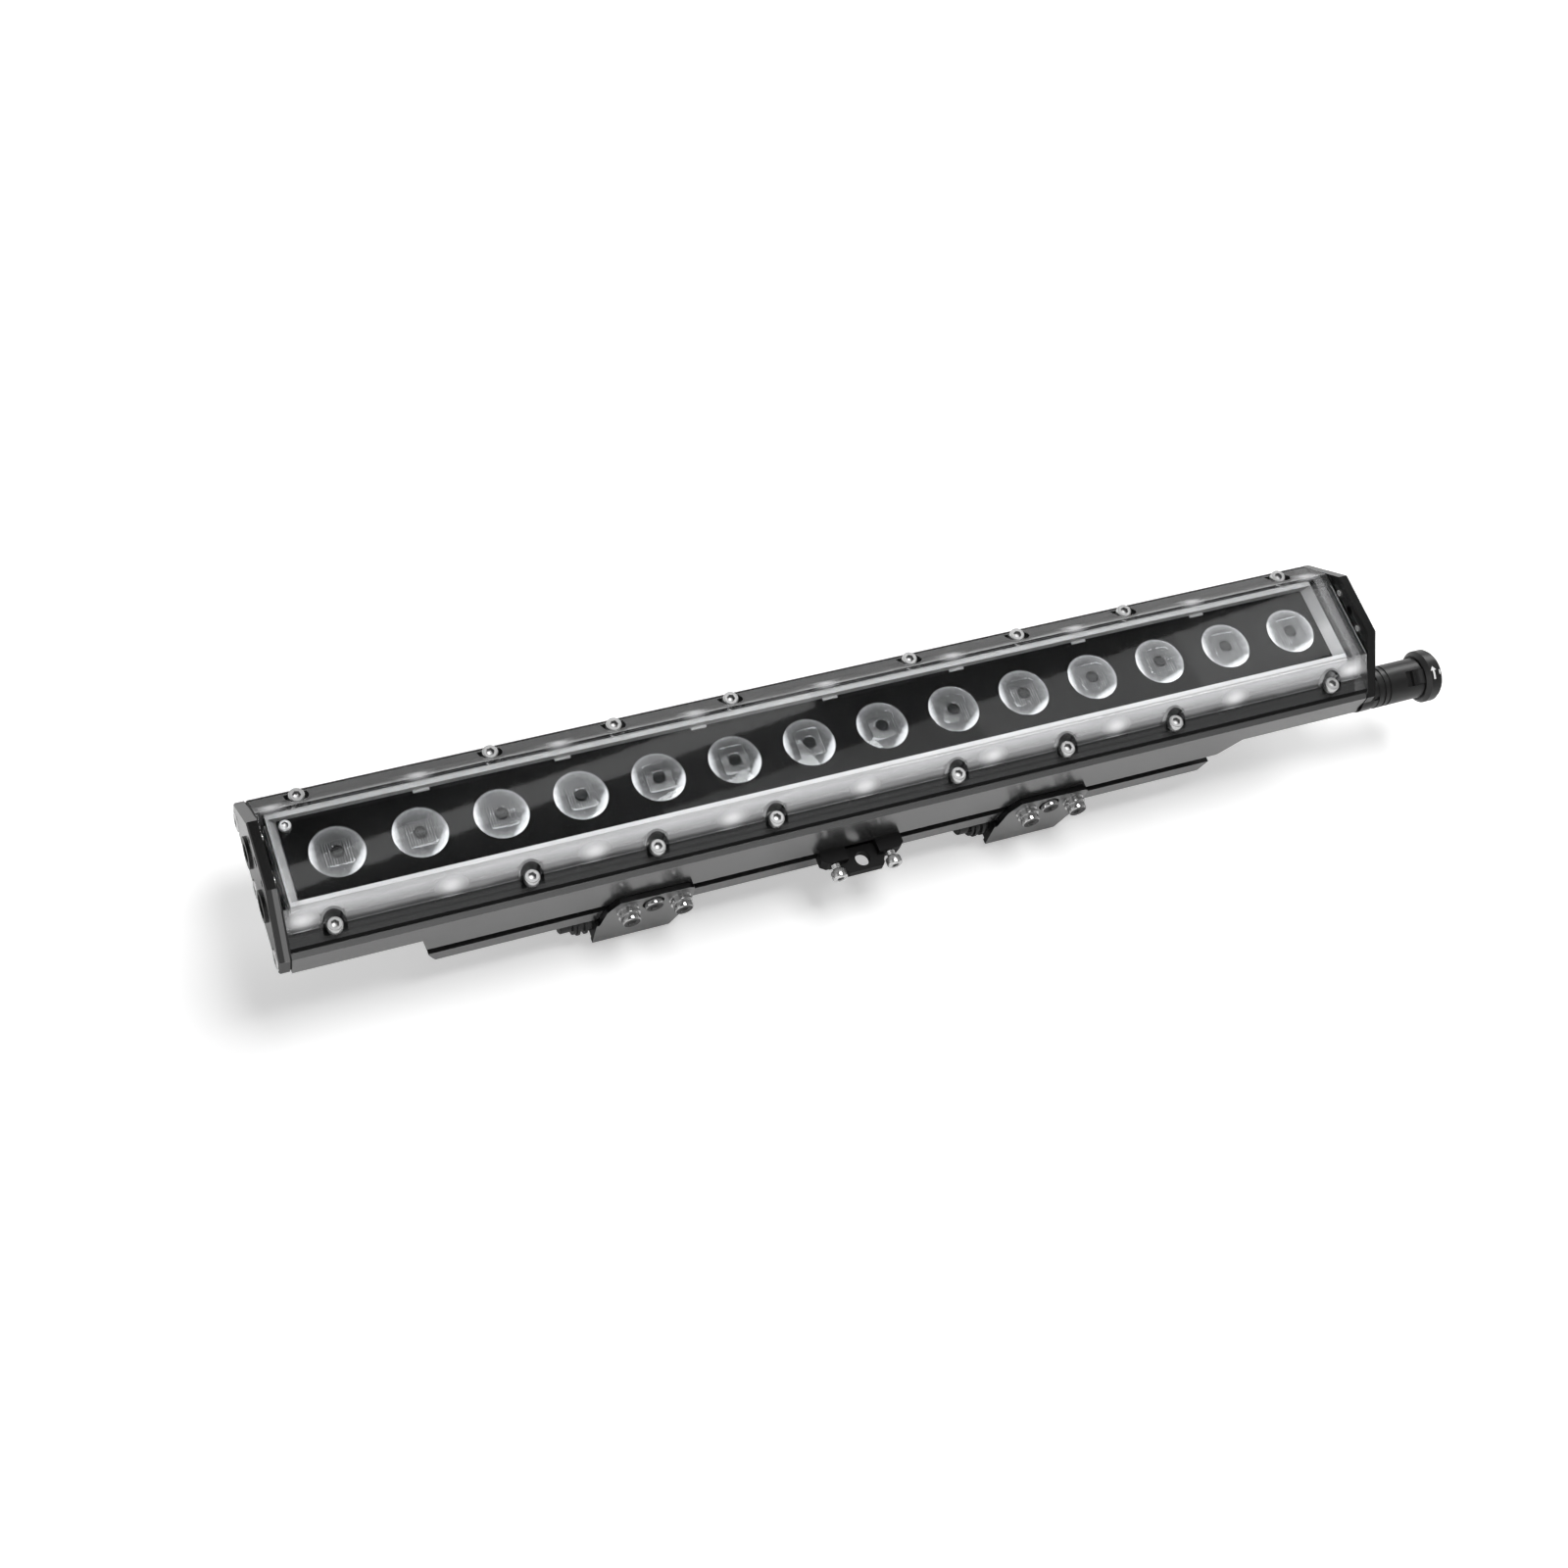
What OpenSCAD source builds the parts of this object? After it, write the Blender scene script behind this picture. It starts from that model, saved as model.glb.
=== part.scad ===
// Outdoor wall washer light: a finned housing with a row of lenses under a clear cover,
// a driver box with side slots below it, and two sliding brackets with tilting feet.
// Origin: middle of the feet's fixing holes on the mounting plane. +Z is the light's direction.

/* [Light body] */
// Length of the extruded housing between the cap gaskets
body_l = 511.8; // [506:0.2:540]
// Width of the housing, the driver box and the caps
body_w = 75.2; // [75:0.2:84]
// Height of the housing's straight side
side_h = 13; // [12:0.5:18]
// Distance of the light body's middle from the middle between the feet
body_x = 7.95; // [0:0.05:12]
// Height of the cooling fins under the deck
fin_h = 6; // [5:0.5:7]
// Thickness of the deck that the board lies on
deck_t = 3.5; // [3:0.5:4]
// Thickness of one cooling fin
fin_t = 1.6; // [1.2:0.1:2]

/* [Lenses and board] */
// Distance from lens to lens
lens_pitch = 35; // [30:0.5:36]
// Least distance from the housing's end to the middle of the first lens
row_end = 27; // [26.5:0.5:34]
// Diameter of a lens
lens_d = 23.5; // [20:0.5:25]
// Height from the board to the top of a lens
lens_h = 12.5; // [12:0.5:13]
// Thickness of the board
board_t = 1.6; // [1:0.2:2.4]
// Thickness of the thermal pad
pad_t = 0.4; // [0.2:0.1:0.8]
// Thickness of the black lens mask
mask_t = 1.5; // [1:0.1:2]
// Distance from the housing's inner wall to the opening of the white frame
window_in = 7.4; // [7.1:0.1:8.6]

/* [Cover] */
// Height of the clear cover above its gasket
cover_h = 13.75; // [13.5:0.05:16]
// Distance from the cover's side to its flat top
cover_flat_in = 12.9; // [12.1:0.1:13.6]
// Wall of the cover
cover_t = 2.2; // [1.8:0.1:2.6]
// Thickness of the cover's flange under a screw head
flange_t = 3; // [2.5:0.1:4]
// Thickness of the cover gasket
gasket_t = 1; // [0.6:0.1:1.5]
// Distance of a row of cover screws behind the body's side
screw_in = 7.3; // [6.9:0.1:7.5]

/* [End caps] */
// Thickness of an end cap
cap_t = 4.64; // [4:0.02:6]
// Thickness of a cap gasket
cap_gasket_t = 0.8; // [0.5:0.1:1.2]
// Height of a cap above the housing's side
cap_rise = 24.07; // [20:0.01:28]
// Width of a cap's flat top
cap_flat_w = 31.5; // [28:0.5:36]

/* [Driver box] */
// Height of the driver box
box_h = 23; // [22.5:0.1:28]
// Height of the box's underside above the mounting plane
rail_z = 22.5; // [22:0.5:26]
// Distance from the housing's left end to the box's left end
box_left_in = 55.1; // [41:0.1:66]
// Distance from the housing's right end to the box's right end
box_right_in = 62.1; // [46:0.1:66]
// Height of the rail below the side slot
rail_h = 7.5; // [7:0.5:8.5]
// Height of the side slot
slot_h = 5.4; // [5.2:0.1:6]
// Thickness of the slot's lips
lip_t = 3.6; // [3:0.1:4]

/* [Brackets] */
// Distance between the middles of the feet
foot_pitch = 192.8; // [180:0.2:200]
// Distance of a foot's fixing holes behind the body's sides
hole_in = 21.6; // [19.6:0.5:25.6]
// Diameter of a fixing hole in a foot
hole_d = 6.6; // [5.5:0.1:7]
// Thickness of the feet's plate
foot_t = 3; // [2.5:0.1:4]
// Thickness of the ear's plate
ear_t = 2.5; // [2:0.1:3]
// Height of the hinge axis above the mounting plane
hinge_z = 13.5; // [13.4:0.1:14]
// Distance of the hinge axis behind the body's front side
hinge_in = 6.6; // [6:0.1:7]
// Diameter of the hinge bolt
hinge_d = 6; // [5:0.5:7]
// Distance between the ear's bolts
ear_pitch = 12; // [11:0.5:13]

/* [Safety lug] */
// Thickness of the lug
lug_t = 4; // [3:0.1:5]
// How far the lug stands out of the slot
lug_out = 11.9; // [10:0.1:14]
// Diameter of the lug's eye
eye_d = 7; // [6:0.5:7.5]
// Distance between the lug's screws
lug_pitch = 26.6; // [26:0.1:29]

/* [Connector] */
// Diameter of the connector's barrel
barrel_d = 19.4; // [19:0.2:22]
// Diameter of the locking ring
ring_d = 25; // [24:0.2:28]
// Length of the locking ring
ring_l = 9; // [8:0.5:12]
// Distance from the cap to the locking ring
ring_x = 30; // [29:0.2:34]
// Distance of the connector's axis behind the body's front side
socket_in = 8.6; // [8:0.2:11]
// Distance of the connector's axis below the top of the housing's side
socket_down = 9.5; // [8:0.5:10]

/* [Hidden] */
$fn = 48;

// Clearances
slide_gap = 0.3;
turn_gap = 0.08;
seat_gap = 0.1;
hair = 0.04;
cut = 1;

// Body
half_w = body_w / 2;
half_l = body_l / 2;
base_z = rail_z + box_h;
side_z = base_z + side_h;
rim_in = 2;
rim_rise = 1.75;
rim_z = side_z + rim_rise;
wall_y = half_w - 11;
deck_z = base_z + fin_h + deck_t;

// Board, lenses and mask
lens_n = floor((body_l - 2 * row_end) / lens_pitch) + 1;
pad_z = deck_z;
board_z = pad_z + pad_t;
board_top = board_z + board_t;
mask_z = board_top + lens_h;
board_w = 2 * (wall_y - 2.1);
lens_r = lens_d / 2;
holder_t = 1.2;
holder_r = lens_r + holder_t;
window_left = half_l - 7.9;
window_right = half_l - 13.9;
frame_slope = 4.5;
frame_t = 1.5;
window_w = 2 * (wall_y - window_in);
window_y = window_w / 2;

// Cover
gasket_z = rim_z;
cover_z = gasket_z + gasket_t;
cover_top = cover_z + cover_h;
cover_y = half_w - rim_in;
cover_flat_w = 2 * (cover_y - cover_flat_in);
cover_flat_y = cover_flat_w / 2;
flank_run = cover_y - cover_flat_y;
flank_rise = cover_h - 0.55;
flank_k = flank_rise / flank_run;
skin_drop = cover_t * sqrt(1 + flank_k * flank_k);
inner_y = wall_y - 0.4;
screw_y = half_w - screw_in;
seat_z = cover_z + flange_t;
pocket_r = 5.1;
boss_r = pocket_r + 1.8;
m4_r = 2;
m4_head_r = 3.5;
m4_head_h = 4;
m4_hex = 3;
tap_r = 1.65;
tap_depth = 9;
screw_end = 19.3;
screw_row = half_l - screw_end;
screw_x = [for (share = [1, 0.6475, 0.4125, 0.183]) share * screw_row];
pane_z = cover_top - cover_t;
frame_top = pane_z - seat_gap;
skirt_y = wall_y - 0.6;
clip_pitch = window_left / 4;
clip_y = wall_y - 2.4;

// Caps
cap_z = base_z + 2.3;
cap_top = side_z + cap_rise;
cap_in_x = half_l + cap_gasket_t;
cap_out_x = cap_in_x + cap_t;
cap_edge = 0.6;
cap_screw_y = half_w - 5.3;
cap_screw_z = base_z + 5.5;
m5_r = 2.5;
m5_head_r = 4.25;
m5_head_h = 5;
m5_hex = 4;
plug_y = half_w / 3;
plug_z = deck_z + 6.5;
plug_r = 7;
plug_thread_r = 5;
set_y = 10;
set_z = cap_top - 5;
set_r = 1.5;

// Driver box
slot_z = rail_z + rail_h;
slot_mid = slot_z + slot_h / 2;
nut_w = 8;
nut_t = 4;
pocket_w = nut_w + 2 * slide_gap;
pocket_d = nut_t + 2 * slide_gap;
pocket_y = half_w - lip_t - pocket_d;
box_wall = 1.6;
cavity_y = pocket_y - box_wall;
box_floor = 3;
box_roof = 2.5;
fin_gap = 3.6;
fin_edge = 1.8;
fin_n = floor((cavity_y - fin_edge + 0.1) / (fin_gap + fin_t));
fin_pitch = (cavity_y - fin_edge) / fin_n;
rib_y = (fin_n - 1) * fin_pitch;
box_left = half_l - box_left_in;
box_right = half_l - box_right_in;
end_left_t = 12;
end_right_t = 18;
corner_w = 7;
box_x0 = -box_left + end_left_t;
box_x1 = box_right - end_right_t;
end_screw_y = cavity_y - corner_w / 2;
end_screw_z = rail_z + box_floor + corner_w / 2;
box_screw_x = [box_x0 + 38.8, 0, box_x1 - 25.8];
lead_hole_r = 5;
lead_x = -(2 - (lens_n % 2) / 2) * lens_pitch;

// Connector
socket_y = -half_w + socket_in;
socket_z = side_z - socket_down;
barrel_r = barrel_d / 2;
ring_r = ring_d / 2;
boss_l = 1.5;
lock_nut_t = 3;
thread_r = 7;
barrel_x = cap_out_x + boss_l + lock_nut_t;
ring_x0 = cap_out_x + ring_x;
ring_x1 = ring_x0 + ring_l;
neck_r = barrel_r - 1.6;
supply_r = 1.5;
supply_y = -fin_n * fin_pitch;
supply_z = base_z + 3.5;
supply_x0 = box_x1 - 10;
terminal_y = -cavity_y + 7.8;
terminal_w = 2 * cavity_y - 23.6;
unit_l = 115;
card_l = 100;
spare_l = (supply_x0 - 7.5 - box_x0 - unit_l - card_l) / 3;
unit_x = box_x0 + spare_l;
unit_y = cavity_y - corner_w - 2.8;
card_x = unit_x + unit_l + spare_l;
card_y = unit_y - 1;

// Brackets
hinge_y = -half_w + hinge_in;
hole_pitch = 2 * (half_w - hole_in);
ear_y = -half_w - slide_gap;
ear_x = 6.45;
lug_r = 6.4;
cheek_t = 2.5;
cheek_gap = 0.3;
washer_t = 1;
tilt_max = 70;
hinge_r = hinge_d / 2;

// Puts its children at the light body
module at_body() { translate([body_x, 0, 0]) children(); }

// Extrudes an outline drawn in Y and Z from x0 to x1
module along_x(x0, x1) { translate([x0, 0, 0]) rotate([90, 0, 90]) linear_extrude(x1 - x0) children(); }

// Extrudes an outline drawn in X and Z from y0 to y1
module along_y(y0, y1) { translate([0, y1, 0]) rotate([90, 0, 0]) linear_extrude(y1 - y0) children(); }

// Rod along X from x0 to x1
module rod_x(x0, x1, y, z, r) { translate([x0, y, z]) rotate([0, 90, 0]) cylinder(r = r, h = x1 - x0); }

// Rod along Y from y0 to y1
module rod_y(y0, y1, x, z, r) { translate([x, y1, z]) rotate([90, 0, 0]) cylinder(r = r, h = y1 - y0); }

// Block between two corners
module block(a, b) { translate(a) cube(b - a); }

// Both sides of the body: the children and their mirror image in Y
module both_sides() {
    children();
    mirror([0, 1, 0]) children();
}

// Socket head screw that points down, with the underside of its head at the origin
module socket_screw(r, head_r, head_h, hex, l) {
    difference() {
        union() {
            translate([0, 0, -l]) cylinder(r = r, h = l + 0.2);
            cylinder(r = head_r, h = head_h - 0.4);
            translate([0, 0, head_h - 0.4]) cylinder(r = head_r - 0.4, h = 0.4);
        }
        translate([0, 0, head_h * 0.45]) cylinder(r = hex / sqrt(3), h = head_h, $fn = 6);
    }
}

// Places of the cover screws
module at_cover_screws() {
    for (x = screw_x, sx = [-1, 1], sy = [-1, 1]) translate([sx * x, sy * screw_y, 0]) children();
}

// Places of the lenses
module at_lenses() {
    for (i = [0:lens_n - 1]) translate([(i - (lens_n - 1) / 2) * lens_pitch, 0, 0]) children();
}

// Housing

module housing_outline() {
    difference() {
        polygon([[-half_w, base_z], [half_w, base_z], [half_w, side_z], [cover_y, rim_z], [wall_y, rim_z],
            [wall_y, deck_z], [-wall_y, deck_z], [-wall_y, rim_z], [-cover_y, rim_z], [-half_w, side_z]]);
        for (i = [-fin_n:fin_n])
            if (i != 0 && abs(i) != fin_n - 1)
                translate([i * fin_pitch - (fin_pitch - fin_t) / 2, base_z - cut])
                    square([fin_pitch - fin_t, fin_h + cut]);
    }
}

module housing() {
    color("dimgray") at_body() difference() {
        along_x(-half_l, half_l) housing_outline();
        at_cover_screws() translate([0, 0, rim_z - tap_depth]) cylinder(r = tap_r, h = tap_depth + cut);
        for (s = [-1, 1], y = [-cap_screw_y, 0, cap_screw_y])
            rod_x(s > 0 ? half_l - 14 : -half_l - cut, s > 0 ? half_l + cut : -half_l + 14, y, cap_screw_z, 2.1);
        for (x = box_screw_x, s = [-1, 1])
            translate([x, s * rib_y, base_z - cut]) cylinder(r = tap_r, h = fin_h + cut);
        translate([lead_x, 0, base_z - cut]) cylinder(r = lead_hole_r, h = fin_h + deck_t + 2 * cut);
    }
}

// End caps

module cap_outline(inset) {
    k = (cap_rise) / (half_w - cap_flat_w / 2);
    side_in = inset * (sqrt(1 + k * k) - 1) / k;
    top_in = inset * (sqrt(1 + k * k) - k);
    polygon([[-half_w + inset, cap_z + inset], [half_w - inset, cap_z + inset],
        [half_w - inset, side_z - side_in], [cap_flat_w / 2 - top_in, cap_top - inset],
        [-cap_flat_w / 2 + top_in, cap_top - inset], [-half_w + inset, side_z - side_in]]);
}

// Cap plate from its inner face at x = 0 to its outer face, with a small bevel round the outer edge
module cap_plate() {
    along_x(0, cap_t - cap_edge) cap_outline(0);
    hull() {
        along_x(cap_t - cap_edge - 0.01, cap_t - cap_edge) cap_outline(0);
        along_x(cap_t - 0.01, cap_t) cap_outline(cap_edge);
    }
}

module cap_holes(screw_ys, plug_ys) {
    for (y = screw_ys) {
        rod_x(-cut, cap_t + cut, y, cap_screw_z, m5_r + 0.2);
        rod_x(cap_t - 2.2, cap_t + cut, y, cap_screw_z, m5_head_r + 0.6);
    }
    for (y = plug_ys) rod_x(-cut, cap_t + cut, y, plug_z, plug_thread_r);
    for (s = [-1, 1]) rod_x(-cut, cap_t + cut, s * set_y, set_z, set_r);
    block([-cut, -2.2, set_z - 1.6], [cap_t + cut, 2.2, set_z + 1.6]);
}

module left_end_cap() {
    color("black") at_body() mirror([1, 0, 0]) translate([cap_in_x, 0, 0]) difference() {
        cap_plate();
        cap_holes([-cap_screw_y, 0, cap_screw_y], [-plug_y, plug_y]);
    }
}

module right_end_cap() {
    color("black") at_body() translate([cap_in_x, 0, 0]) difference() {
        union() {
            cap_plate();
            rod_x(0, cap_t + boss_l, socket_y, socket_z, barrel_r);
        }
        cap_holes([0, cap_screw_y], [-plug_y, plug_y]);
        rod_x(-cut, cap_t + boss_l + cut, socket_y, socket_z, thread_r);
    }
}

module cap_gasket_outline() {
    difference() {
        polygon([[-half_w + 0.5, cap_z + 0.5], [half_w - 0.5, cap_z + 0.5], [half_w - 0.5, side_z - 0.3],
            [cover_y - 0.4, cover_z + 0.5], [cover_flat_y - 0.3, cover_top - 0.6],
            [-cover_flat_y + 0.3, cover_top - 0.6], [-cover_y + 0.4, cover_z + 0.5], [-half_w + 0.5, side_z - 0.3]]);
        translate([-window_y, board_z]) square([window_w, pane_z - 2 - board_z]);
        for (y = [-cap_screw_y, 0, cap_screw_y]) translate([y, cap_screw_z]) circle(r = m5_r + 0.3);
    }
}

module left_cap_gasket() {
    color("black") at_body() along_x(-cap_in_x, -half_l) cap_gasket_outline();
}

module right_cap_gasket() {
    color("black") at_body() along_x(half_l, cap_in_x) difference() {
        cap_gasket_outline();
        translate([socket_y, socket_z]) circle(r = thread_r + 1);
    }
}

module cap_screw(x, y, turn) {
    translate([x, y, cap_screw_z]) rotate([0, turn, 0])
        socket_screw(m5_r - seat_gap * 5, m5_head_r, 2.6, m5_hex, 12);
}

module cap_screws() {
    color("silver") at_body() {
        for (y = [-cap_screw_y, 0, cap_screw_y]) cap_screw(-cap_out_x + 2.2, y, -90);
        for (y = [0, cap_screw_y]) cap_screw(cap_out_x - 2.2, y, 90);
    }
}

module cap_set_screws() {
    color("darkgray") at_body() for (s = [-1, 1], y = [-set_y, set_y])
        scale([s, 1, 1]) difference() {
            rod_x(cap_in_x - 0.8, cap_out_x - 0.8, y, set_z, set_r - 0.05);
            rod_x(cap_in_x - 1.8, cap_in_x + 0.6, y, set_z, 0.85);
        }
}

// Plug whose head stands on the cap's outer face
module plug(x_side, y, slot_r) {
    scale([x_side, 1, 1]) difference() {
        union() {
            rod_x(cap_out_x, cap_out_x + 1, y, plug_z, plug_r);
            rod_x(cap_in_x, cap_out_x + 0.1, y, plug_z, plug_thread_r - 0.05);
        }
        rod_x(cap_out_x + 0.3, cap_out_x + 2, y, plug_z, slot_r);
    }
}

module blanking_plugs() {
    color("black") at_body() {
        plug(-1, -plug_y, 5.2);
        plug(1, -plug_y, 5.2);
        plug(1, plug_y, 5.2);
    }
}

module vent_plug() {
    color("black") at_body() plug(-1, plug_y, 4);
}

// Cover

module cover_outline() {
    polygon([[-cover_y, cover_z], [cover_y, cover_z], [cover_y, cover_top - flank_rise],
        [cover_flat_y, cover_top], [-cover_flat_y, cover_top], [-cover_y, cover_top - flank_rise]]);
}

// Hollow under the cover, parallel to its flanks
module cover_hollow_outline() {
    top_y = cover_flat_y + (cover_t - skin_drop) / flank_k;
    knee_z = cover_top - skin_drop - (inner_y - cover_flat_y) * flank_k;
    polygon([[-inner_y, cover_z - cut], [inner_y, cover_z - cut], [inner_y, knee_z], [top_y, pane_z],
        [-top_y, pane_z], [-inner_y, knee_z]]);
}

module cover_window() {
    color([0.85, 0.9, 0.92, 0.4]) at_body() difference() {
        along_x(-half_l, half_l) cover_outline();
        difference() {
            along_x(-half_l + cover_t, half_l - cover_t) cover_hollow_outline();
            at_cover_screws() translate([0, 0, cover_z]) cylinder(r = boss_r, h = cover_h);
        }
        at_cover_screws() {
            translate([0, 0, seat_z]) cylinder(r = pocket_r, h = cover_h);
            translate([0, 0, cover_z - cut]) cylinder(r = m4_r + 0.25, h = cover_h);
        }
        for (x = screw_x, s = [-1, 1]) both_sides()
            block([s * x - pocket_r, screw_y, seat_z], [s * x + pocket_r, half_w + cut, cover_top]);
    }
}

module cover_gasket() {
    color("black") at_body() difference() {
        both_sides() block([-half_l, wall_y, gasket_z], [half_l, cover_y - 0.5, cover_z]);
        at_cover_screws() translate([0, 0, gasket_z - cut]) cylinder(r = m4_r + 0.4, h = 2 + gasket_t);
    }
}

module cover_screws() {
    color("silver") at_body() at_cover_screws() translate([0, 0, seat_z])
        socket_screw(tap_r - 0.05, m4_head_r, m4_head_h, m4_hex, flange_t + gasket_t + tap_depth - 1);
}

// Light frame, mask, lenses and board

// Half outline of the white frame: an inner wall, a top strip and a skirt behind the cover's flank
module frame_half_outline() {
    top_y = cover_flat_y - 1.5;
    skirt_drop = (skirt_y - top_y) * flank_k;
    polygon([[window_y, mask_z - mask_t], [window_y, frame_top], [top_y, frame_top],
        [skirt_y - 0.6, frame_top - skirt_drop + 0.6], [skirt_y - 0.6, frame_top - skirt_drop - 1.2],
        [window_y + frame_t, frame_top - 1.5], [window_y + frame_t, mask_z - mask_t]]);
}

module light_frame() {
    x0 = -window_left - frame_slope;
    x1 = window_right + frame_slope;
    color("white") at_body() {
        difference() {
            along_x(x0, x1) {
                frame_half_outline();
                mirror([1, 0]) frame_half_outline();
            }
            at_cover_screws() translate([0, 0, board_z]) cylinder(r = boss_r + 0.3, h = cover_top - board_z);
        }
        for (s = [-1, 1]) {
            bottom_x = s > 0 ? window_right : window_left;
            slope = s > 0 ? frame_slope : frame_slope - 1;
            scale([s, 1, 1]) along_y(-window_y, window_y)
                polygon([[bottom_x, mask_z - mask_t], [bottom_x + slope, frame_top],
                    [bottom_x + frame_slope, frame_top], [bottom_x + frame_slope, mask_z - mask_t]]);
        }
        for (k = [-4:3]) both_sides()
            block([k * clip_pitch - 1.5, clip_y - 1.8, board_top], [k * clip_pitch + 1.5, clip_y, frame_top - 3.6]);
    }
}

module lens_mask() {
    hole_r = lens_r + 0.15;
    color([0.03, 0.03, 0.03]) at_body() difference() {
        block([-window_left, -window_y, mask_z - mask_t], [window_right, window_y, mask_z]);
        at_lenses() translate([0, 0, mask_z - mask_t - cut]) cylinder(r = hole_r, h = mask_t + 2 * cut);
        translate([-window_left + 2.8, window_y - 3.4, mask_z - mask_t - cut]) cylinder(r = 1.6, h = 4);
    }
}

module mask_screw() {
    color("silver") at_body() translate([-window_left + 2.8, window_y - 3.4, mask_z])
        socket_screw(1.45, 2.75, 2.2, 2.5, mask_z - board_z);
}

// Lens: a flared body on a cup for the light source, with a collar at the top
module lens_profile() {
    difference() {
        polygon([[0, 1.5], [5, 0.4], [7.6, 4], [9.4, 7.6], [10.4, lens_h - 2.4], [lens_r, lens_h - 2.4],
            [lens_r, lens_h - 0.3], [lens_r - 0.3, lens_h], [0, lens_h]]);
        square([3, 4.6]);
    }
}

module lenses() {
    color([0.9, 0.93, 0.95, 0.6]) at_body() at_lenses() translate([0, 0, board_top])
        rotate_extrude() lens_profile();
}

// Holder: a ring round the lens that stands on the board and carries the lens's collar
module lens_holders() {
    ring_h = lens_h - mask_t;
    color("black") at_body() at_lenses() translate([0, 0, board_top]) difference() {
        cylinder(r = holder_r, h = ring_h);
        translate([0, 0, -cut]) cylinder(r = 10.6, h = ring_h + 2 * cut);
        translate([0, 0, ring_h - 0.9]) cylinder(r = lens_r + 0.05, h = 2);
        for (a = [0:60:120]) rotate([0, 0, a]) translate([-20, -2.5, 3]) cube([40, 5, 3]);
    }
}

module led_board() {
    color("white") at_body() difference() {
        block([-half_l + 3, -board_w / 2, board_z], [half_l - 3, board_w / 2, board_top]);
        translate([lead_x, 0, board_z - cut]) cylinder(r = lead_hole_r, h = board_t + 2 * cut);
        translate([-window_left + 2.8, window_y - 3.4, board_z - cut]) cylinder(r = 1.55, h = 4);
    }
}

module leds() {
    color("gold") at_body() at_lenses() translate([0, 0, board_top]) {
        translate([-1.9, -1.9, 0]) cube([3.8, 3.8, 1.2]);
        translate([0, 0, 1.1]) cylinder(r1 = 1.7, r2 = 1.1, h = 1.4);
    }
}

module thermal_pad() {
    color("lightgray") at_body() difference() {
        block([-half_l + 3, -board_w / 2, pad_z], [half_l - 3, board_w / 2, board_z]);
        translate([lead_x, 0, pad_z - cut]) cylinder(r = lead_hole_r, h = pad_t + 2 * cut);
    }
}

// Driver box

// Side slot: the narrow mouth and the wide pocket that a square nut slides in
module slot_outline() {
    both_slots() {
        translate([half_w - lip_t - cut, slot_z]) square([lip_t + 2 * cut, slot_h]);
        translate([pocket_y, slot_mid - pocket_w / 2]) square([pocket_d, pocket_w]);
    }
}

module both_slots() {
    children();
    mirror([1, 0]) children();
}

module box_outline() {
    roof_z = base_z - box_roof;
    floor_z = rail_z + box_floor;
    difference() {
        translate([-half_w, rail_z]) square([body_w, box_h]);
        difference() {
            translate([-cavity_y, floor_z]) square([2 * cavity_y, roof_z - floor_z]);
            both_slots() translate([cavity_y - corner_w, floor_z]) square([corner_w, corner_w]);
        }
        slot_outline();
    }
}

module driver_box() {
    color("dimgray") at_body() difference() {
        along_x(box_x0, box_x1) box_outline();
        for (s = [-1, 1]) {
            rod_x(box_x0 - cut, box_x0 + 12, s * end_screw_y, end_screw_z, tap_r);
            rod_x(box_x1 - 12, box_x1 + cut, s * end_screw_y, end_screw_z, tap_r);
        }
        for (x = box_screw_x, s = [-1, 1])
            translate([x, s * rib_y, base_z - box_roof - cut]) cylinder(r = m4_r + 0.2, h = box_roof + 2 * cut);
        translate([lead_x, 0, base_z - box_roof - cut]) cylinder(r = lead_hole_r, h = box_roof + 2 * cut);
        translate([supply_x0, supply_y, base_z - box_roof - cut])
            cylinder(r = supply_r + 0.3, h = box_roof + 2 * cut);
    }
}

module driver_end(outline, x_in, x_out) {
    color("dimgray") at_body() difference() {
        along_y(-half_w, half_w) polygon(outline);
        along_x(min(x_in, x_out) - cut, max(x_in, x_out) + cut) slot_outline();
        for (s = [-1, 1]) {
            rod_x(min(x_in, x_out) - cut, max(x_in, x_out) + cut, s * end_screw_y, end_screw_z, m4_r + 0.2);
            rod_x(x_out > x_in ? x_in + 5 : x_out - cut, x_out > x_in ? x_out + cut : x_in - 5,
                s * end_screw_y, end_screw_z, m4_head_r + 0.5);
        }
    }
}

module driver_end_left() {
    driver_end([[box_x0, base_z], [-box_left, base_z], [-box_left + 2.6, slot_z + 3.1],
        [-box_left + 3.4, slot_z - 0.8], [-box_left + 5, rail_z + 3], [-box_left + 6.8, rail_z], [box_x0, rail_z]],
        box_x0, -box_left);
}

module driver_end_right() {
    driver_end([[box_x1, base_z], [box_right, base_z], [box_right - 10.5, base_z - 10.5],
        [box_right - 15.6, rail_z], [box_x1, rail_z]], box_x1, box_right);
}

module driver_end_screws() {
    color("silver") at_body() for (s = [-1, 1]) {
        translate([box_x0 - 5, s * end_screw_y, end_screw_z]) rotate([0, -90, 0])
            socket_screw(tap_r - 0.05, m4_head_r, 2.4, m4_hex, 15);
        translate([box_x1 + 5, s * end_screw_y, end_screw_z]) rotate([0, 90, 0])
            socket_screw(tap_r - 0.05, m4_head_r, 2.4, m4_hex, 15);
    }
}

module box_screws() {
    color("silver") at_body() for (x = box_screw_x, s = [-1, 1])
        translate([x, s * rib_y, base_z - box_roof]) rotate([180, 0, 0])
            socket_screw(tap_r - 0.05, m4_head_r, m4_head_h * 0.6, m4_hex, box_roof + fin_h - 1.5);
}

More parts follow.
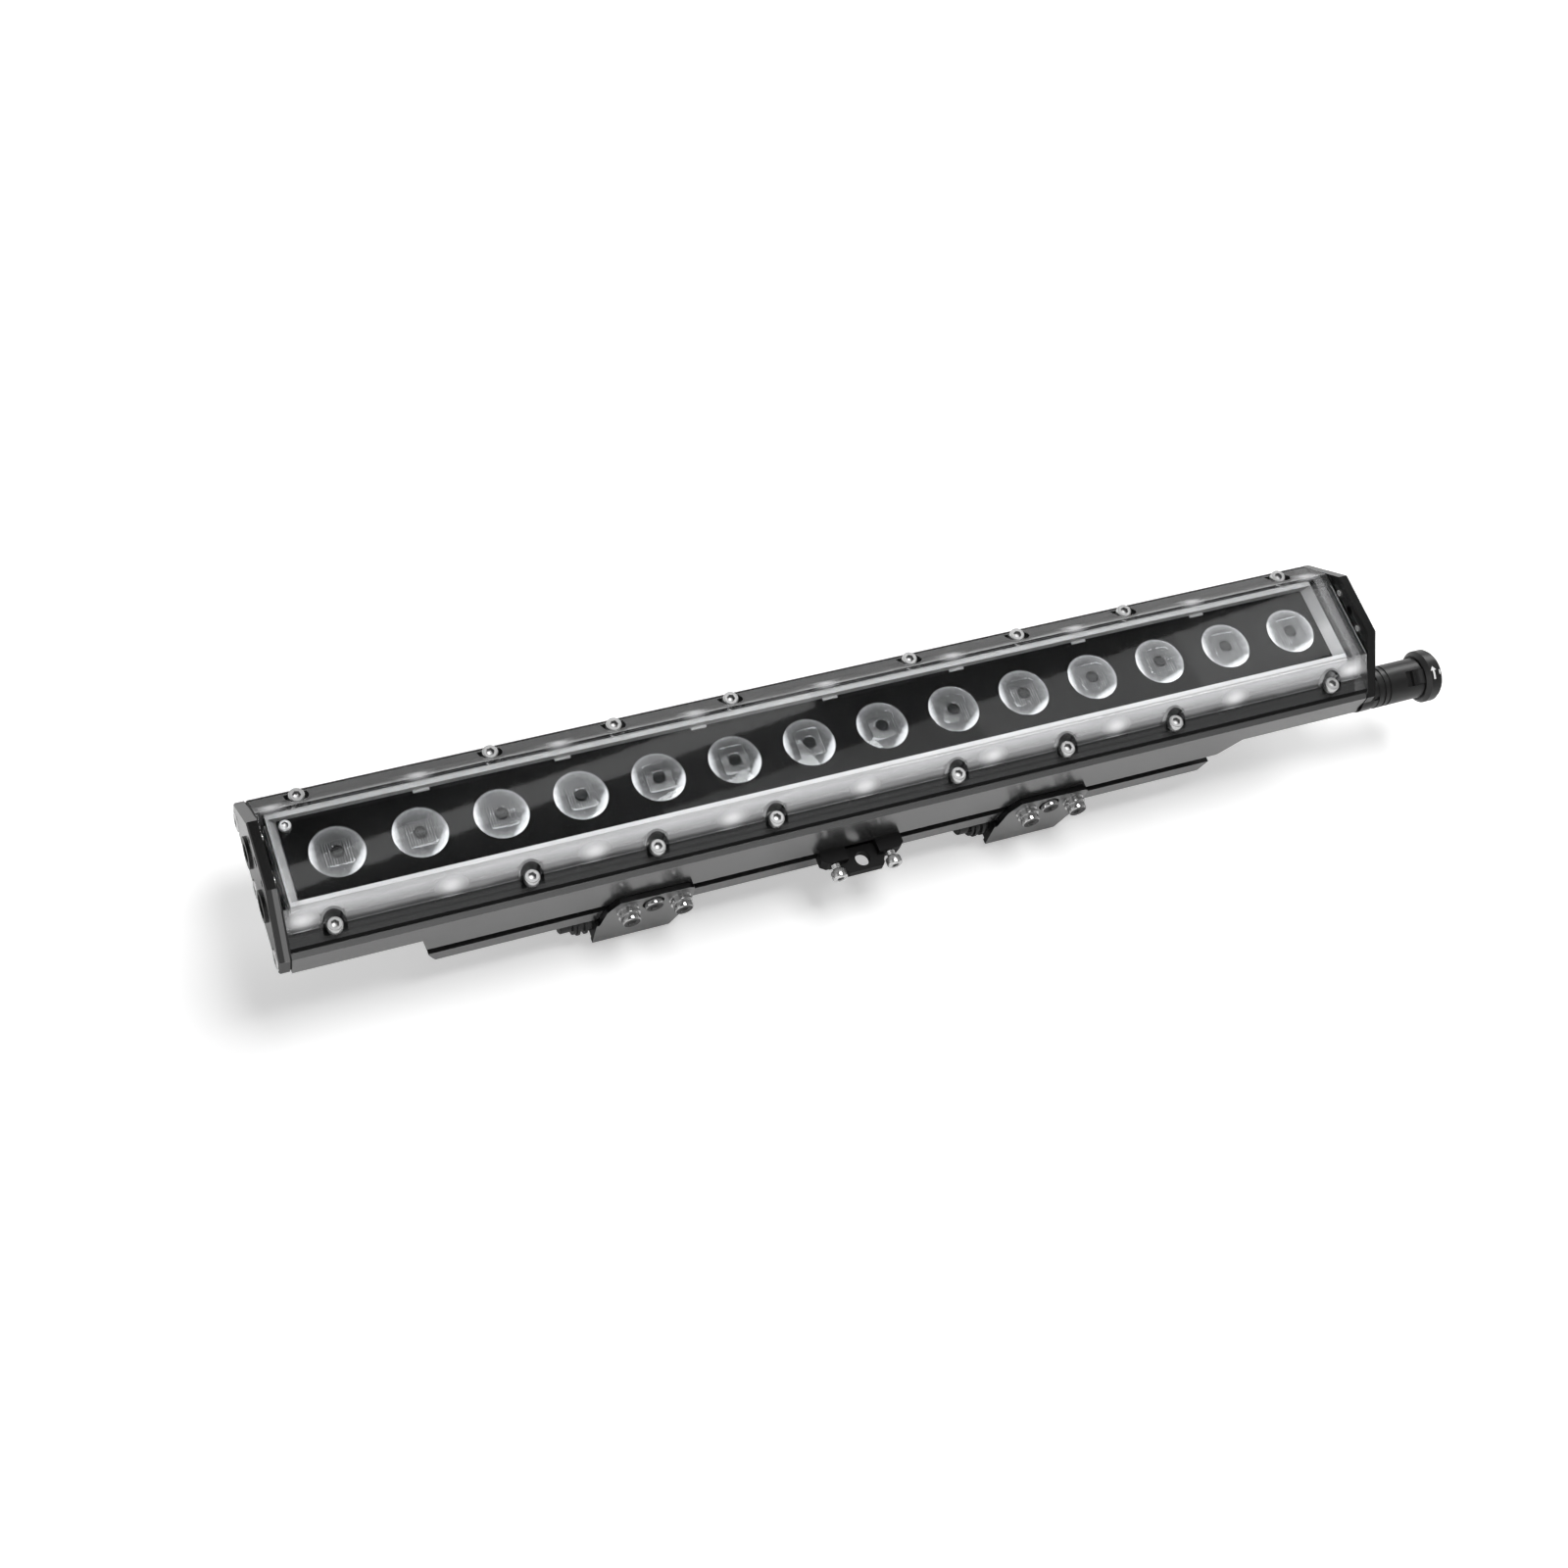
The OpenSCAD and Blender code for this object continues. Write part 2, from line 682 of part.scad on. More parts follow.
module power_supply() {
    floor_z = rail_z + box_floor;
    color("darkslategray") at_body() {
        difference() {
            block([unit_x, -unit_y, floor_z], [unit_x + unit_l, unit_y, floor_z + 12.5]);
            block([unit_x + 2, -unit_y + 2, floor_z + 11.5], [unit_x + unit_l - 2, unit_y - 2, floor_z + 13]);
        }
        for (x = [unit_x - 6, unit_x + unit_l - 1])
            block([x, -8, floor_z], [x + 7, 8, floor_z + 2]);
    }
}

module control_board() {
    floor_z = rail_z + box_floor;
    color("darkgreen") at_body() {
        for (x = [card_x + 5, card_x + card_l - 5], y = [-card_y + 3, card_y - 3])
            translate([x, y, floor_z]) cylinder(r = 2, h = 4);
        block([card_x, -card_y, floor_z + 4], [card_x + card_l, card_y, floor_z + 5.6]);
        for (i = [0:3])
            block([card_x + 15 + 14 * i, -6, floor_z + 5.6], [card_x + 24 + 14 * i, 6, floor_z + 8]);
        for (y = [-card_y + 6, card_y - 6])
            translate([card_x + card_l - 20, y, floor_z + 5.6]) cylinder(r = 4, h = 7);
    }
}

module terminal_block() {
    floor_z = rail_z + box_floor;
    color("beige") at_body() translate([supply_x0, 0, 0]) difference() {
        block([-7.5, terminal_y, floor_z], [7.5, terminal_y + terminal_w, floor_z + 11]);
        for (i = [0:3]) translate([0, terminal_y + terminal_w * (0.125 + 0.25 * i), floor_z + 4])
            cylinder(r = 2.2, h = 8);
    }
}

module led_leads() {
    floor_z = rail_z + box_floor;
    color("red") at_body() for (y = [-2.2, 2.2])
        translate([lead_x, y, floor_z + 11.5]) cylinder(r = 1, h = board_top - floor_z - 11.5);
}

module lead_grommet() {
    color("black") at_body() translate([lead_x, 0, 0]) difference() {
        translate([0, 0, base_z - box_roof]) cylinder(r = lead_hole_r - 0.05, h = board_z - base_z + box_roof);
        for (y = [-2.2, 2.2]) translate([0, y, base_z - box_roof - cut]) cylinder(r = 1.1, h = 20);
    }
}

// Lead from the connector, through the fins and down into the driver box to the terminal block
module supply_lead() {
    drop_z = rail_z + box_floor + corner_w + supply_r + slide_gap;
    color("black") at_body() {
        rod_x(supply_x0, barrel_x + 4, supply_y, supply_z, supply_r);
        translate([supply_x0, supply_y, supply_z]) sphere(r = supply_r);
        translate([supply_x0, supply_y, drop_z]) cylinder(r = supply_r, h = supply_z - drop_z);
        translate([supply_x0, supply_y, drop_z]) sphere(r = supply_r);
        rod_y(supply_y, terminal_y, supply_x0, drop_z, supply_r);
    }
}

// Safety lug

module safety_lug() {
    half_foot = lug_pitch / 2 + 6.4;
    foot_y = -half_w - 6.4;
    tip_y = -half_w - lug_out;
    color("black") at_body() difference() {
        union() {
            for (s = [-1, 1]) scale([s, 1, 1]) translate([0, 0, slot_mid - 3.4]) linear_extrude(6.8)
                polygon([[7.4, -half_w], [half_foot, -half_w], [half_foot, foot_y + 1.8],
                    [half_foot - 2.5, foot_y], [7.4, foot_y]]);
            translate([0, 0, slot_mid - lug_t]) linear_extrude(lug_t) polygon([
                [-15.4, -half_w], [-15.4, foot_y], [-11, foot_y], [-9.3, tip_y + 2.4], [-9.3, tip_y + 1.4],
                [-8.2, tip_y], [8.2, tip_y], [9.3, tip_y + 1.4], [9.3, tip_y + 2.4], [11, foot_y],
                [15.4, foot_y], [15.4, -half_w]]);
        }
        translate([0, foot_y, slot_mid - lug_t - cut]) cylinder(r = eye_d / 2, h = lug_t + 6);
        for (s = [-1, 1]) rod_y(tip_y - 10, -half_w + cut, s * lug_pitch / 2, slot_mid, m4_r + 0.15);
    }
}

module lug_screws() {
    color("silver") at_body() for (s = [-1, 1])
        translate([s * lug_pitch / 2, -half_w - 9.6, slot_mid]) rotate([90, 0, 0])
            socket_screw(m4_r, m4_head_r, m4_head_h, m4_hex, 9.6 + lip_t + 3.5);
}

module square_nut(bore_r) {
    difference() {
        block([-nut_w / 2, 0, -nut_w / 2], [nut_w / 2, nut_t, nut_w / 2]);
        rod_y(-cut, nut_t + cut, 0, 0, bore_r);
    }
}

module lug_nuts() {
    color("silver") at_body() for (s = [-1, 1])
        translate([s * lug_pitch / 2, -half_w + lip_t + slide_gap, slot_mid]) square_nut(m4_r + 0.05);
}

// Brackets: the ear's own middle is ear_x from the middle of its foot

module at_bracket(side) { translate([side * foot_pitch / 2 + ear_x, 0, 0]) children(); }

ear_x0 = -24.5;
ear_x1 = 11.5;
ear_z0 = hinge_z - 9.5;
ear_top = slot_mid + 6.4;

module ear(side) {
    color("dimgray") at_bracket(side) difference() {
        union() {
            along_y(ear_y - ear_t, ear_y) polygon([[ear_x0, ear_z0], [ear_x1, ear_z0],
                [15.5, hinge_z], [18.7, rail_z - 3], [18.7, ear_top - 2.6], [18, ear_top - 0.8],
                [16.2, ear_top], [-16, ear_top + 0.8], [-21, slot_mid + 0.6],
                [-23.5, rail_z - 3]]);
            for (x = [ear_x0, ear_x1 - cheek_t]) {
                rod_x(x, x + cheek_t, hinge_y, hinge_z, lug_r + 1.4);
                block([x, ear_y - ear_t, hinge_z - lug_r - 1.4], [x + cheek_t, hinge_y, hinge_z + lug_r + 1.4]);
            }
        }
        for (i = [-1, 1]) rod_y(ear_y - ear_t - cut, ear_y + cut, i * ear_pitch, slot_mid, m5_r + 0.2);
        rod_y(ear_y - ear_t - cut, ear_y + cut, 0, slot_mid, m5_head_r + 0.8);
        rod_x(ear_x0 - cut, ear_x1 + cut, hinge_y, hinge_z, hinge_r + turn_gap);
    }
}

module slot_nuts(side) {
    color("silver") at_bracket(side) for (i = [-1, 0, 1])
        translate([i * ear_pitch, -half_w + lip_t + slide_gap, slot_mid]) square_nut(m5_r + 0.05);
}

module ear_bolts(side) {
    stack = 3.3;
    color("silver") at_bracket(side) for (i = [-1, 0, 1]) {
        seat = i == 0 ? slide_gap + 1.2 : slide_gap + ear_t + stack;
        translate([i * ear_pitch, -half_w - seat, slot_mid]) rotate([90, 0, 0])
            socket_screw(m5_r, m5_head_r, m5_head_h - 1.3, m5_hex, seat + lip_t + 3.8);
    }
}

// Washer that lies on a face in front of it, with a hair's gap so that it stays a solid of its own
module washer(r, bore_r, t) {
    rotate([90, 0, 0]) difference() {
        cylinder(r = r, h = t - hair);
        translate([0, 0, -cut]) cylinder(r = bore_r, h = t + 2 * cut);
    }
}

module ear_washers(side) {
    face = -half_w - slide_gap - ear_t;
    color("silver") at_bracket(side) {
        for (i = [-1, 1]) {
            translate([i * ear_pitch, face, slot_mid]) washer(5, m5_r + 0.1, washer_t);
            translate([i * ear_pitch, face - washer_t, slot_mid]) washer(4.4, m5_r + 0.1, 1.3);
            translate([i * ear_pitch, face - washer_t - 1.3, slot_mid]) washer(5, m5_r + 0.1, washer_t);
        }
        translate([0, -half_w - slide_gap, slot_mid]) washer(4.9, m5_r + 0.1, 1.2);
    }
}

hinge_stack = 9;

module hinge_bolt(side) {
    color("silver") at_bracket(side)
        translate([ear_x0 - hinge_stack, hinge_y, hinge_z]) rotate([0, -90, 0])
            socket_screw(hinge_r, hinge_r + 2.2, hinge_r + 2.6, 5, hinge_stack + ear_x1 - ear_x0 + 7);
}

// Stack of locking washers between the bolt's head and the ear
module hinge_washers(side) {
    radii = [6.6, 7.6, 6.3, 7.6, 6.8];
    ends = [0, 2.6, 3.8, 6, 7.2, hinge_stack];
    color("dimgray") at_bracket(side) difference() {
        for (i = [0:4]) rod_x(ear_x0 - ends[i + 1] + hair, ear_x0 - ends[i], hinge_y, hinge_z, radii[i]);
        rod_x(ear_x0 - hinge_stack - cut, ear_x0 + cut, hinge_y, hinge_z, hinge_r + turn_gap);
    }
}

module hinge_nut(side) {
    color("silver") at_bracket(side) difference() {
        translate([ear_x1, hinge_y, hinge_z]) rotate([0, 90, 0]) cylinder(r = hinge_r + 2.9, h = 5.2, $fn = 6);
        rod_x(ear_x1 - cut, ear_x1 + 8, hinge_y, hinge_z, hinge_r + turn_gap);
    }
}

// Foot: a base plate with two cheeks that turn on the hinge bolt and carry the rail at rest
module foot(side) {
    cheek_x0 = ear_x0 + cheek_t + cheek_gap;
    cheek_x1 = ear_x1 - cheek_t - cheek_gap;
    top = rail_z - slide_gap;
    front = hinge_y + 8;
    down = [cos(180 + tilt_max), sin(180 + tilt_max)];
    along = [-down[1], down[0]];
    hinge = [hinge_y, hinge_z];
    color("dimgray") at_bracket(side) difference() {
        union() {
            block([cheek_x0, front, 0], [cheek_x1, half_w - 1, foot_t]);
            for (x = [cheek_x0, cheek_x1 - cheek_t]) {
                rod_x(x, x + cheek_t, hinge_y, hinge_z, lug_r);
                along_x(x, x + cheek_t) polygon([hinge + lug_r * down, hinge + lug_r * down + 9.8 * along,
                    [front, foot_t], [front, 0], [half_w - 1, 0], [half_w - 1, top - 6], [half_w - 7, top],
                    [front + 6, top], [hinge_y, hinge_z + lug_r]]);
            }
        }
        rod_x(cheek_x0 - cut, cheek_x1 + cut, hinge_y, hinge_z, hinge_r + turn_gap);
        for (s = [-1, 1]) translate([-ear_x, s * hole_pitch / 2, -cut])
            cylinder(r = hole_d / 2, h = foot_t + 2 * cut);
    }
}

module left_ear() { ear(-1); }
module left_slot_nuts() { slot_nuts(-1); }
module left_ear_bolts() { ear_bolts(-1); }
module left_ear_washers() { ear_washers(-1); }
module left_hinge_bolt() { hinge_bolt(-1); }
module left_hinge_washers() { hinge_washers(-1); }
module left_hinge_nut() { hinge_nut(-1); }
module left_foot() { foot(-1); }
module right_ear() { ear(1); }
module right_slot_nuts() { slot_nuts(1); }
module right_ear_bolts() { ear_bolts(1); }
module right_ear_washers() { ear_washers(1); }
module right_hinge_bolt() { hinge_bolt(1); }
module right_hinge_washers() { hinge_washers(1); }
module right_hinge_nut() { hinge_nut(1); }
module right_foot() { foot(1); }

// Connector

module at_socket(x) { translate([x, socket_y, socket_z]) rotate([0, 90, 0]) children(); }

latch_turn = 204;
latch_w = 7;
latch_l = 6;
bore_r = neck_r - 1.5;
mouth_r = neck_r - 1.3;
mouth_x = barrel_x + 19;
pin_ring_r = 4;

module connector_body() {
    l = ring_x0 - barrel_x;
    color("black") at_body() difference() {
        union() {
            at_socket(barrel_x) {
                cylinder(r = barrel_r, h = 2.6);
                translate([0, 0, 2.6]) cylinder(r = barrel_r - 0.5, h = 1);
                translate([0, 0, 3.6]) cylinder(r = barrel_r, h = 2);
                translate([0, 0, 5.6]) cylinder(r = barrel_r - 0.5, h = 1);
                translate([0, 0, 6.6]) cylinder(r = barrel_r, h = l - 6.6 - cheek_gap);
                cylinder(r = neck_r, h = l + ring_l - 2.5);
            }
            at_socket(cap_in_x) cylinder(r = thread_r - 0.05, h = barrel_x - cap_in_x + 0.1);
        }
        at_socket(cap_in_x - cut) cylinder(r = 5, h = barrel_x - cap_in_x + 5);
        at_socket(barrel_x + 3) cylinder(r = bore_r, h = l + ring_l);
        at_socket(mouth_x) cylinder(r = mouth_r, h = l + ring_l);
        at_socket(barrel_x) rotate([0, 0, latch_turn])
            translate([barrel_r - 1.6, -latch_w / 2 - 0.2, l - latch_l - 3.6]) cube([4, latch_w + 0.4, latch_l + 3.7]);
    }
}

module connector_ring() {
    color("black") at_body() difference() {
        union() {
            at_socket(ring_x0) {
                cylinder(r1 = ring_r - 1.8, r2 = ring_r, h = 2);
                translate([0, 0, 2]) cylinder(r = ring_r, h = ring_l - 4.6);
                translate([0, 0, ring_l - 2.6]) cylinder(r = ring_r - 0.9, h = 1.4);
                translate([0, 0, ring_l - 1.2]) cylinder(r1 = ring_r - 0.9, r2 = ring_r - 2.1, h = 1.2);
            }
        }
        at_socket(ring_x0 - cut) cylinder(r = neck_r + turn_gap, h = ring_l + 2 * cut);
        at_socket(ring_x0 + ring_l - 2.2) cylinder(r = neck_r + 1, h = 4);
    }
}

module connector_latch() {
    l = ring_x0 - barrel_x;
    color("black") at_body() at_socket(barrel_x) rotate([0, 0, latch_turn])
        translate([barrel_r - 1.5, -latch_w / 2, l - latch_l - 0.4]) difference() {
            cube([1.9, latch_w, latch_l]);
            translate([4.6, -cut, latch_l / 2]) rotate([-90, 0, 0]) cylinder(r = 3.4, h = latch_w + 2 * cut);
        }
}

module connector_insert() {
    color("black") at_body() difference() {
        at_socket(barrel_x + 4) cylinder(r = bore_r - 0.05, h = 12);
        at_socket(barrel_x + 3) cylinder(r = 2.6, h = 3);
        for (a = [0:72:359]) at_socket(barrel_x + 3) rotate([0, 0, a]) translate([pin_ring_r, 0, 0])
            cylinder(r = 0.85, h = 20);
    }
}

module connector_contacts() {
    color("gold") at_body() for (a = [0:72:359]) at_socket(barrel_x + 4) rotate([0, 0, a])
        translate([pin_ring_r, 0, 0]) cylinder(r = 0.8, h = 13.3);
}

module connector_seal() {
    color("darkred") at_body() difference() {
        at_socket(barrel_x + 16) cylinder(r = bore_r - 0.05, h = mouth_x - barrel_x - 16);
        at_socket(barrel_x + 15) cylinder(r = 5.3, h = 5);
    }
}

module connector_nut() {
    color("silver") at_body() difference() {
        at_socket(barrel_x - lock_nut_t) cylinder(r = barrel_r - 0.3, h = lock_nut_t);
        at_socket(barrel_x - lock_nut_t - cut) cylinder(r = thread_r, h = lock_nut_t + 2 * cut);
        for (a = [0:60:359]) at_socket(barrel_x - lock_nut_t - cut) rotate([0, 0, a])
            translate([barrel_r - 1, -1, 0]) cube([2, 2, lock_nut_t + 2 * cut]);
    }
}

housing();
left_end_cap();
right_end_cap();
left_cap_gasket();
right_cap_gasket();
cap_screws();
cap_set_screws();
blanking_plugs();
vent_plug();
cover_window();
cover_gasket();
cover_screws();
light_frame();
lens_mask();
mask_screw();
lenses();
lens_holders();
led_board();
leds();
thermal_pad();
driver_box();
driver_end_left();
driver_end_right();
driver_end_screws();
box_screws();
power_supply();
control_board();
terminal_block();
led_leads();
lead_grommet();
supply_lead();
safety_lug();
lug_screws();
lug_nuts();
left_ear();
left_slot_nuts();
left_ear_bolts();
left_ear_washers();
left_hinge_bolt();
left_hinge_washers();
left_hinge_nut();
left_foot();
right_ear();
right_slot_nuts();
right_ear_bolts();
right_ear_washers();
right_hinge_bolt();
right_hinge_washers();
right_hinge_nut();
right_foot();
connector_body();
connector_ring();
connector_latch();
connector_insert();
connector_contacts();
connector_seal();
connector_nut();
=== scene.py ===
"""Outdoor wall washer light: its finishes and fine detail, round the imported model."""
import math

import bmesh
import bpy
from mathutils import Matrix, Vector


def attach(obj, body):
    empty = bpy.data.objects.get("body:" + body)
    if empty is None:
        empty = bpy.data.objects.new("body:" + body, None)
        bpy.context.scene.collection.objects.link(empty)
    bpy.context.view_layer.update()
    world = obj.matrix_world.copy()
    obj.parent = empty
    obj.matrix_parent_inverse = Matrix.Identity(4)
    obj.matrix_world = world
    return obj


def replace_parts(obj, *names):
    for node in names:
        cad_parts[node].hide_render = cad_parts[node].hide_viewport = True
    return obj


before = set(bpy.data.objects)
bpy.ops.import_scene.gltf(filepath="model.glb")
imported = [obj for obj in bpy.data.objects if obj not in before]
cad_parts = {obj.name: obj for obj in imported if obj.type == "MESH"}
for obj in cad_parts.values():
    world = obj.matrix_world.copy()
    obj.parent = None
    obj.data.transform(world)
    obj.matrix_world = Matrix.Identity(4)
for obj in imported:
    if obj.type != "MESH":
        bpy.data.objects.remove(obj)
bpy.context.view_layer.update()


# Studio.
# A white floor at the height of the feet and a room that is pale below and dark overhead. Three broad lamps
# light the part, and four narrow strips draw the grey bands across the black lens mask.
MM = 0.001


class Signal:
    """A value inside a finish. Sums and products of signals add Math nodes."""

    def __init__(self, finish, socket):
        self.finish, self.socket = finish, socket

    def __add__(self, other): return self.finish.op("ADD", self, other)
    def __radd__(self, other): return self.finish.op("ADD", other, self)
    def __sub__(self, other): return self.finish.op("SUBTRACT", self, other)
    def __rsub__(self, other): return self.finish.op("SUBTRACT", other, self)
    def __mul__(self, other): return self.finish.op("MULTIPLY", self, other)
    def __rmul__(self, other): return self.finish.op("MULTIPLY", other, self)
    def __gt__(self, other): return self.finish.op("GREATER_THAN", self, other)
    def __lt__(self, other): return self.finish.op("LESS_THAN", self, other)


class Finish:
    """A material and the nodes that make it."""

    def __init__(self, name):
        self.material = bpy.data.materials.new(name)
        self.material.use_nodes = True
        self.tree = self.material.node_tree
        self.tree.nodes.clear()

    def add(self, kind, settings=None, inputs=None, output=0):
        node = self.tree.nodes.new(kind)
        for key, value in (settings or {}).items():
            if key == "stops":
                ramp = node.color_ramp.elements
                while len(ramp) < len(value):
                    ramp.new(0.5)
                for stop, (place, shade) in zip(ramp, value):
                    stop.position, stop.color = place, (shade, shade, shade, 1)
            else:
                setattr(node, key, value)
        for key, value in (inputs or {}).items():
            if isinstance(value, Signal):
                self.tree.links.new(value.socket, node.inputs[key])
            else:
                node.inputs[key].default_value = value
        return Signal(self, node.outputs[output])

    def op(self, kind, *values):
        """A Math node on values and signals."""
        return self.add("ShaderNodeMath", {"operation": kind}, dict(enumerate(values)))

    def place(self, scale=(1, 1, 1)):
        """Object coordinates in millimetres, stretched by scale."""
        coords = self.add("ShaderNodeTexCoord", output="Object")
        return self.add("ShaderNodeMapping", None, {"Vector": coords, "Scale": tuple(s / MM for s in scale)})

    def axes(self):
        """Object coordinates in millimetres along X, Y and Z."""
        split = self.add("ShaderNodeSeparateXYZ", None, {"Vector": self.place()}).socket.node
        return [Signal(self, split.outputs[k]) for k in range(3)]

    def ramp(self, factor, low, high, stops):
        """A grey that follows the factor through stops given in the factor's own unit."""
        return self.add("ShaderNodeValToRGB", {"stops": [((at - low) / (high - low), shade) for at, shade in stops]},
                        {"Fac": (factor - low) * (1 / (high - low))})

    def noise(self, scale, detail=2.0, rough=0.5, stretch=(1, 1, 1)):
        return self.add("ShaderNodeTexNoise", None, {
            "Vector": self.place(stretch), "Scale": scale, "Detail": detail, "Roughness": rough})

    def blend(self, factor, low, high):
        """A mix of two colours, each a grey level, a colour or a signal."""
        colour = [each if isinstance(each, Signal) else (each, each, each, 1) if isinstance(each, float)
                  else (*each, 1) for each in (low, high)]
        return self.add("ShaderNodeMix", {"data_type": "RGBA"}, {"Factor": factor, 6: colour[0], 7: colour[1]}, 2)

    def bump(self, height, depth_mm, strength):
        return self.add("ShaderNodeBump", None, {
            "Height": height, "Distance": depth_mm * MM, "Strength": strength})

    def surface(self, **inputs):
        names = {"base": "Base Color", "metal": "Metallic", "rough": "Roughness", "normal": "Normal",
                 "clear": "Transmission Weight", "ior": "IOR", "specular": "Specular IOR Level"}
        return self.add("ShaderNodeBsdfPrincipled", None, {names[k]: v for k, v in inputs.items()})

    def mix(self, factor, first, second):
        return self.add("ShaderNodeMixShader", None, {0: factor, 1: first, 2: second})

    def done(self, shader):
        out = self.tree.nodes.new("ShaderNodeOutputMaterial")
        self.tree.links.new(shader.socket, out.inputs["Surface"])
        return self.material


scene = bpy.context.scene
scene.view_settings.view_transform = "Standard"

camera = bpy.data.objects.new("camera", bpy.data.cameras.new("camera"))
camera.data.sensor_width = 36
camera.data.lens = 55.36
camera.data.clip_end = 20
scene.collection.objects.link(camera)
# The camera was solved from the photo's own points.
right = Vector((0.92367655, -0.33557629, 0.18495997))
up = Vector((0.21822457, 0.8574806, 0.46594535))
back = Vector((-0.3149598, -0.39001998, 0.86526571))
camera.matrix_world = Matrix.Translation(Vector((-0.35567, -0.42295, 0.97126))) @ Matrix(
    (right, up, back)).transposed().to_4x4()
scene.camera = camera

room = bpy.data.worlds.new("room")
room.use_nodes = True
scene.world = room
sky = room.node_tree.nodes.new("ShaderNodeTexCoord")
height = room.node_tree.nodes.new("ShaderNodeSeparateXYZ")
fade = room.node_tree.nodes.new("ShaderNodeValToRGB")
room_levels = [(0.1, 0.8), (0.55, 0.45), (0.68, 0.3), (0.74, 0.012), (1.0, 0.006)]
for place, shade in room_levels[2:]:
    fade.color_ramp.elements.new(place)
for stop, (place, shade) in zip(fade.color_ramp.elements, room_levels):
    stop.position, stop.color = place, (shade, shade, shade, 1)
side_fade = room.node_tree.nodes.new("ShaderNodeMapRange")
for key, value in (("From Min", 0.0), ("From Max", 0.6), ("To Min", 1.25), ("To Max", 0.5)):
    side_fade.inputs[key].default_value = value
for one, other in ((sky.outputs["Generated"], height.inputs["Vector"]), (height.outputs["Z"], fade.inputs["Fac"]),
                   (height.outputs["X"], side_fade.inputs["Value"]),
                   (fade.outputs["Color"], room.node_tree.nodes["Background"].inputs["Color"]),
                   (side_fade.outputs["Result"], room.node_tree.nodes["Background"].inputs["Strength"])):
    room.node_tree.links.new(one, other)


def lamp(name, at, aim, size, power, roll=0.0):
    """A rectangular lamp, in metres and watts."""
    data = bpy.data.lights.new(name, "AREA")
    data.shape = "RECTANGLE"
    data.size, data.size_y = size
    data.energy = power
    obj = bpy.data.objects.new(name, data)
    turn = (Vector(aim) - Vector(at)).to_track_quat("-Z", "Y").to_matrix() @ Matrix.Rotation(roll, 3, "Z")
    obj.matrix_world = Matrix.Translation(Vector(at)) @ turn.to_4x4()
    scene.collection.objects.link(obj)


lamp("top_lamp", (0.3, 0.1, 1.7), (0, 0, 0), (0.8, 0.8), 20)
lamp("rear_lamp", (1.08, 1.25, 1.1), (0, 0, 0), (0.8, 0.7), 11)
lamp("front_lamp", (-1.2, -1.6, 1.8), (0, 0, 0.05), (1.6, 1.2), 6)
# The strips hang level over the light, each placed by the streak of the mask that it shows in.
STRIP_HEIGHT = 1.47
for name, x, y, length, width, tilt, power in (
        ("left_strip", 0.228, 0.669, 0.643, 0.028, 6.8, 0.052),
        ("first_strip", 0.534, 0.587, 0.385, 0.091, 6.1, 0.042),
        ("second_strip", 0.866, 0.623, 0.283, 0.091, 6.1, 0.049),
        ("third_strip", 1.172, 0.656, 0.334, 0.091, 6.1, 0.082)):
    lamp(name, (x, y, STRIP_HEIGHT), (x, y, 0), (length, width), power, math.radians(tilt))

floor_finish = Finish("white_floor")
seen = floor_finish.add("ShaderNodeLightPath", output="Is Camera Ray")
floor_finish.done(floor_finish.add("ShaderNodeAddShader", None, {
    0: floor_finish.add("ShaderNodeBsdfDiffuse", None, {"Color": (0.86, 0.86, 0.86, 1)}),
    1: floor_finish.add("ShaderNodeEmission", None, {"Color": (1, 1, 1, 1), "Strength": seen * 0.35})}))
bpy.ops.mesh.primitive_plane_add(size=12)
floor = bpy.context.object
floor.name = "floor"
floor.data.materials.append(floor_finish.material)


# Housing and driver box.
# Two aluminium extrusions and the box's two milled end covers, anodised dark grey. The press leaves faint
# lines along the length.
# Painted shade darkens the rear walls beyond this line.
REAR_WALL_Y = 35
EDGE_BREAK = 0.3


def dress(finish, *names):
    """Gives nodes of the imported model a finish."""
    for name in names:
        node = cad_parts[name]
        if not node.material_slots:
            node.data.materials.append(finish)
        for each in node.material_slots:
            each.material = finish


def soften(width, *names):
    """Breaks the sharp edges of a node with a small bevel."""
    for name in names:
        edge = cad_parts[name].modifiers.new("soften", "BEVEL")
        edge.width, edge.segments, edge.limit_method = width * MM, 2, "ANGLE"
        edge.angle_limit = math.radians(30)


def anodised(name, tone, rough, lines=True, painted_light_patch=None, painted_light_tone=0.0):
    """Grey metal with painted shade on its rear wall, and painted light of another tone on the given patch."""
    finish = Finish(name)
    along, across, level = finish.axes()
    press = finish.noise(1.1, 3, 0.5, (0.01, 1, 1) if lines else (1, 1, 1))
    cloud = finish.noise(0.03, 2)
    # Painted shade: the rear wall, out of the light, is darker.
    base = finish.blend(across > REAR_WALL_Y, finish.blend(cloud, tone * 0.92, tone * 1.08), tone * 0.55)
    # Painted light: where the patch is true the base takes its own, paler tone.
    if painted_light_patch:
        base = finish.blend(painted_light_patch(along, across, level), base, painted_light_tone)
    return finish.done(finish.surface(
        base=base, metal=0.9, rough=press * 0.06 + (rough - 0.03), normal=finish.bump(press, 0.004, 0.15)))


dress(anodised("anodised_grey", 0.2, 0.22), "housing", "driver_box", "driver_end_left", "driver_end_right")
soften(EDGE_BREAK, "driver_end_left", "driver_end_right")


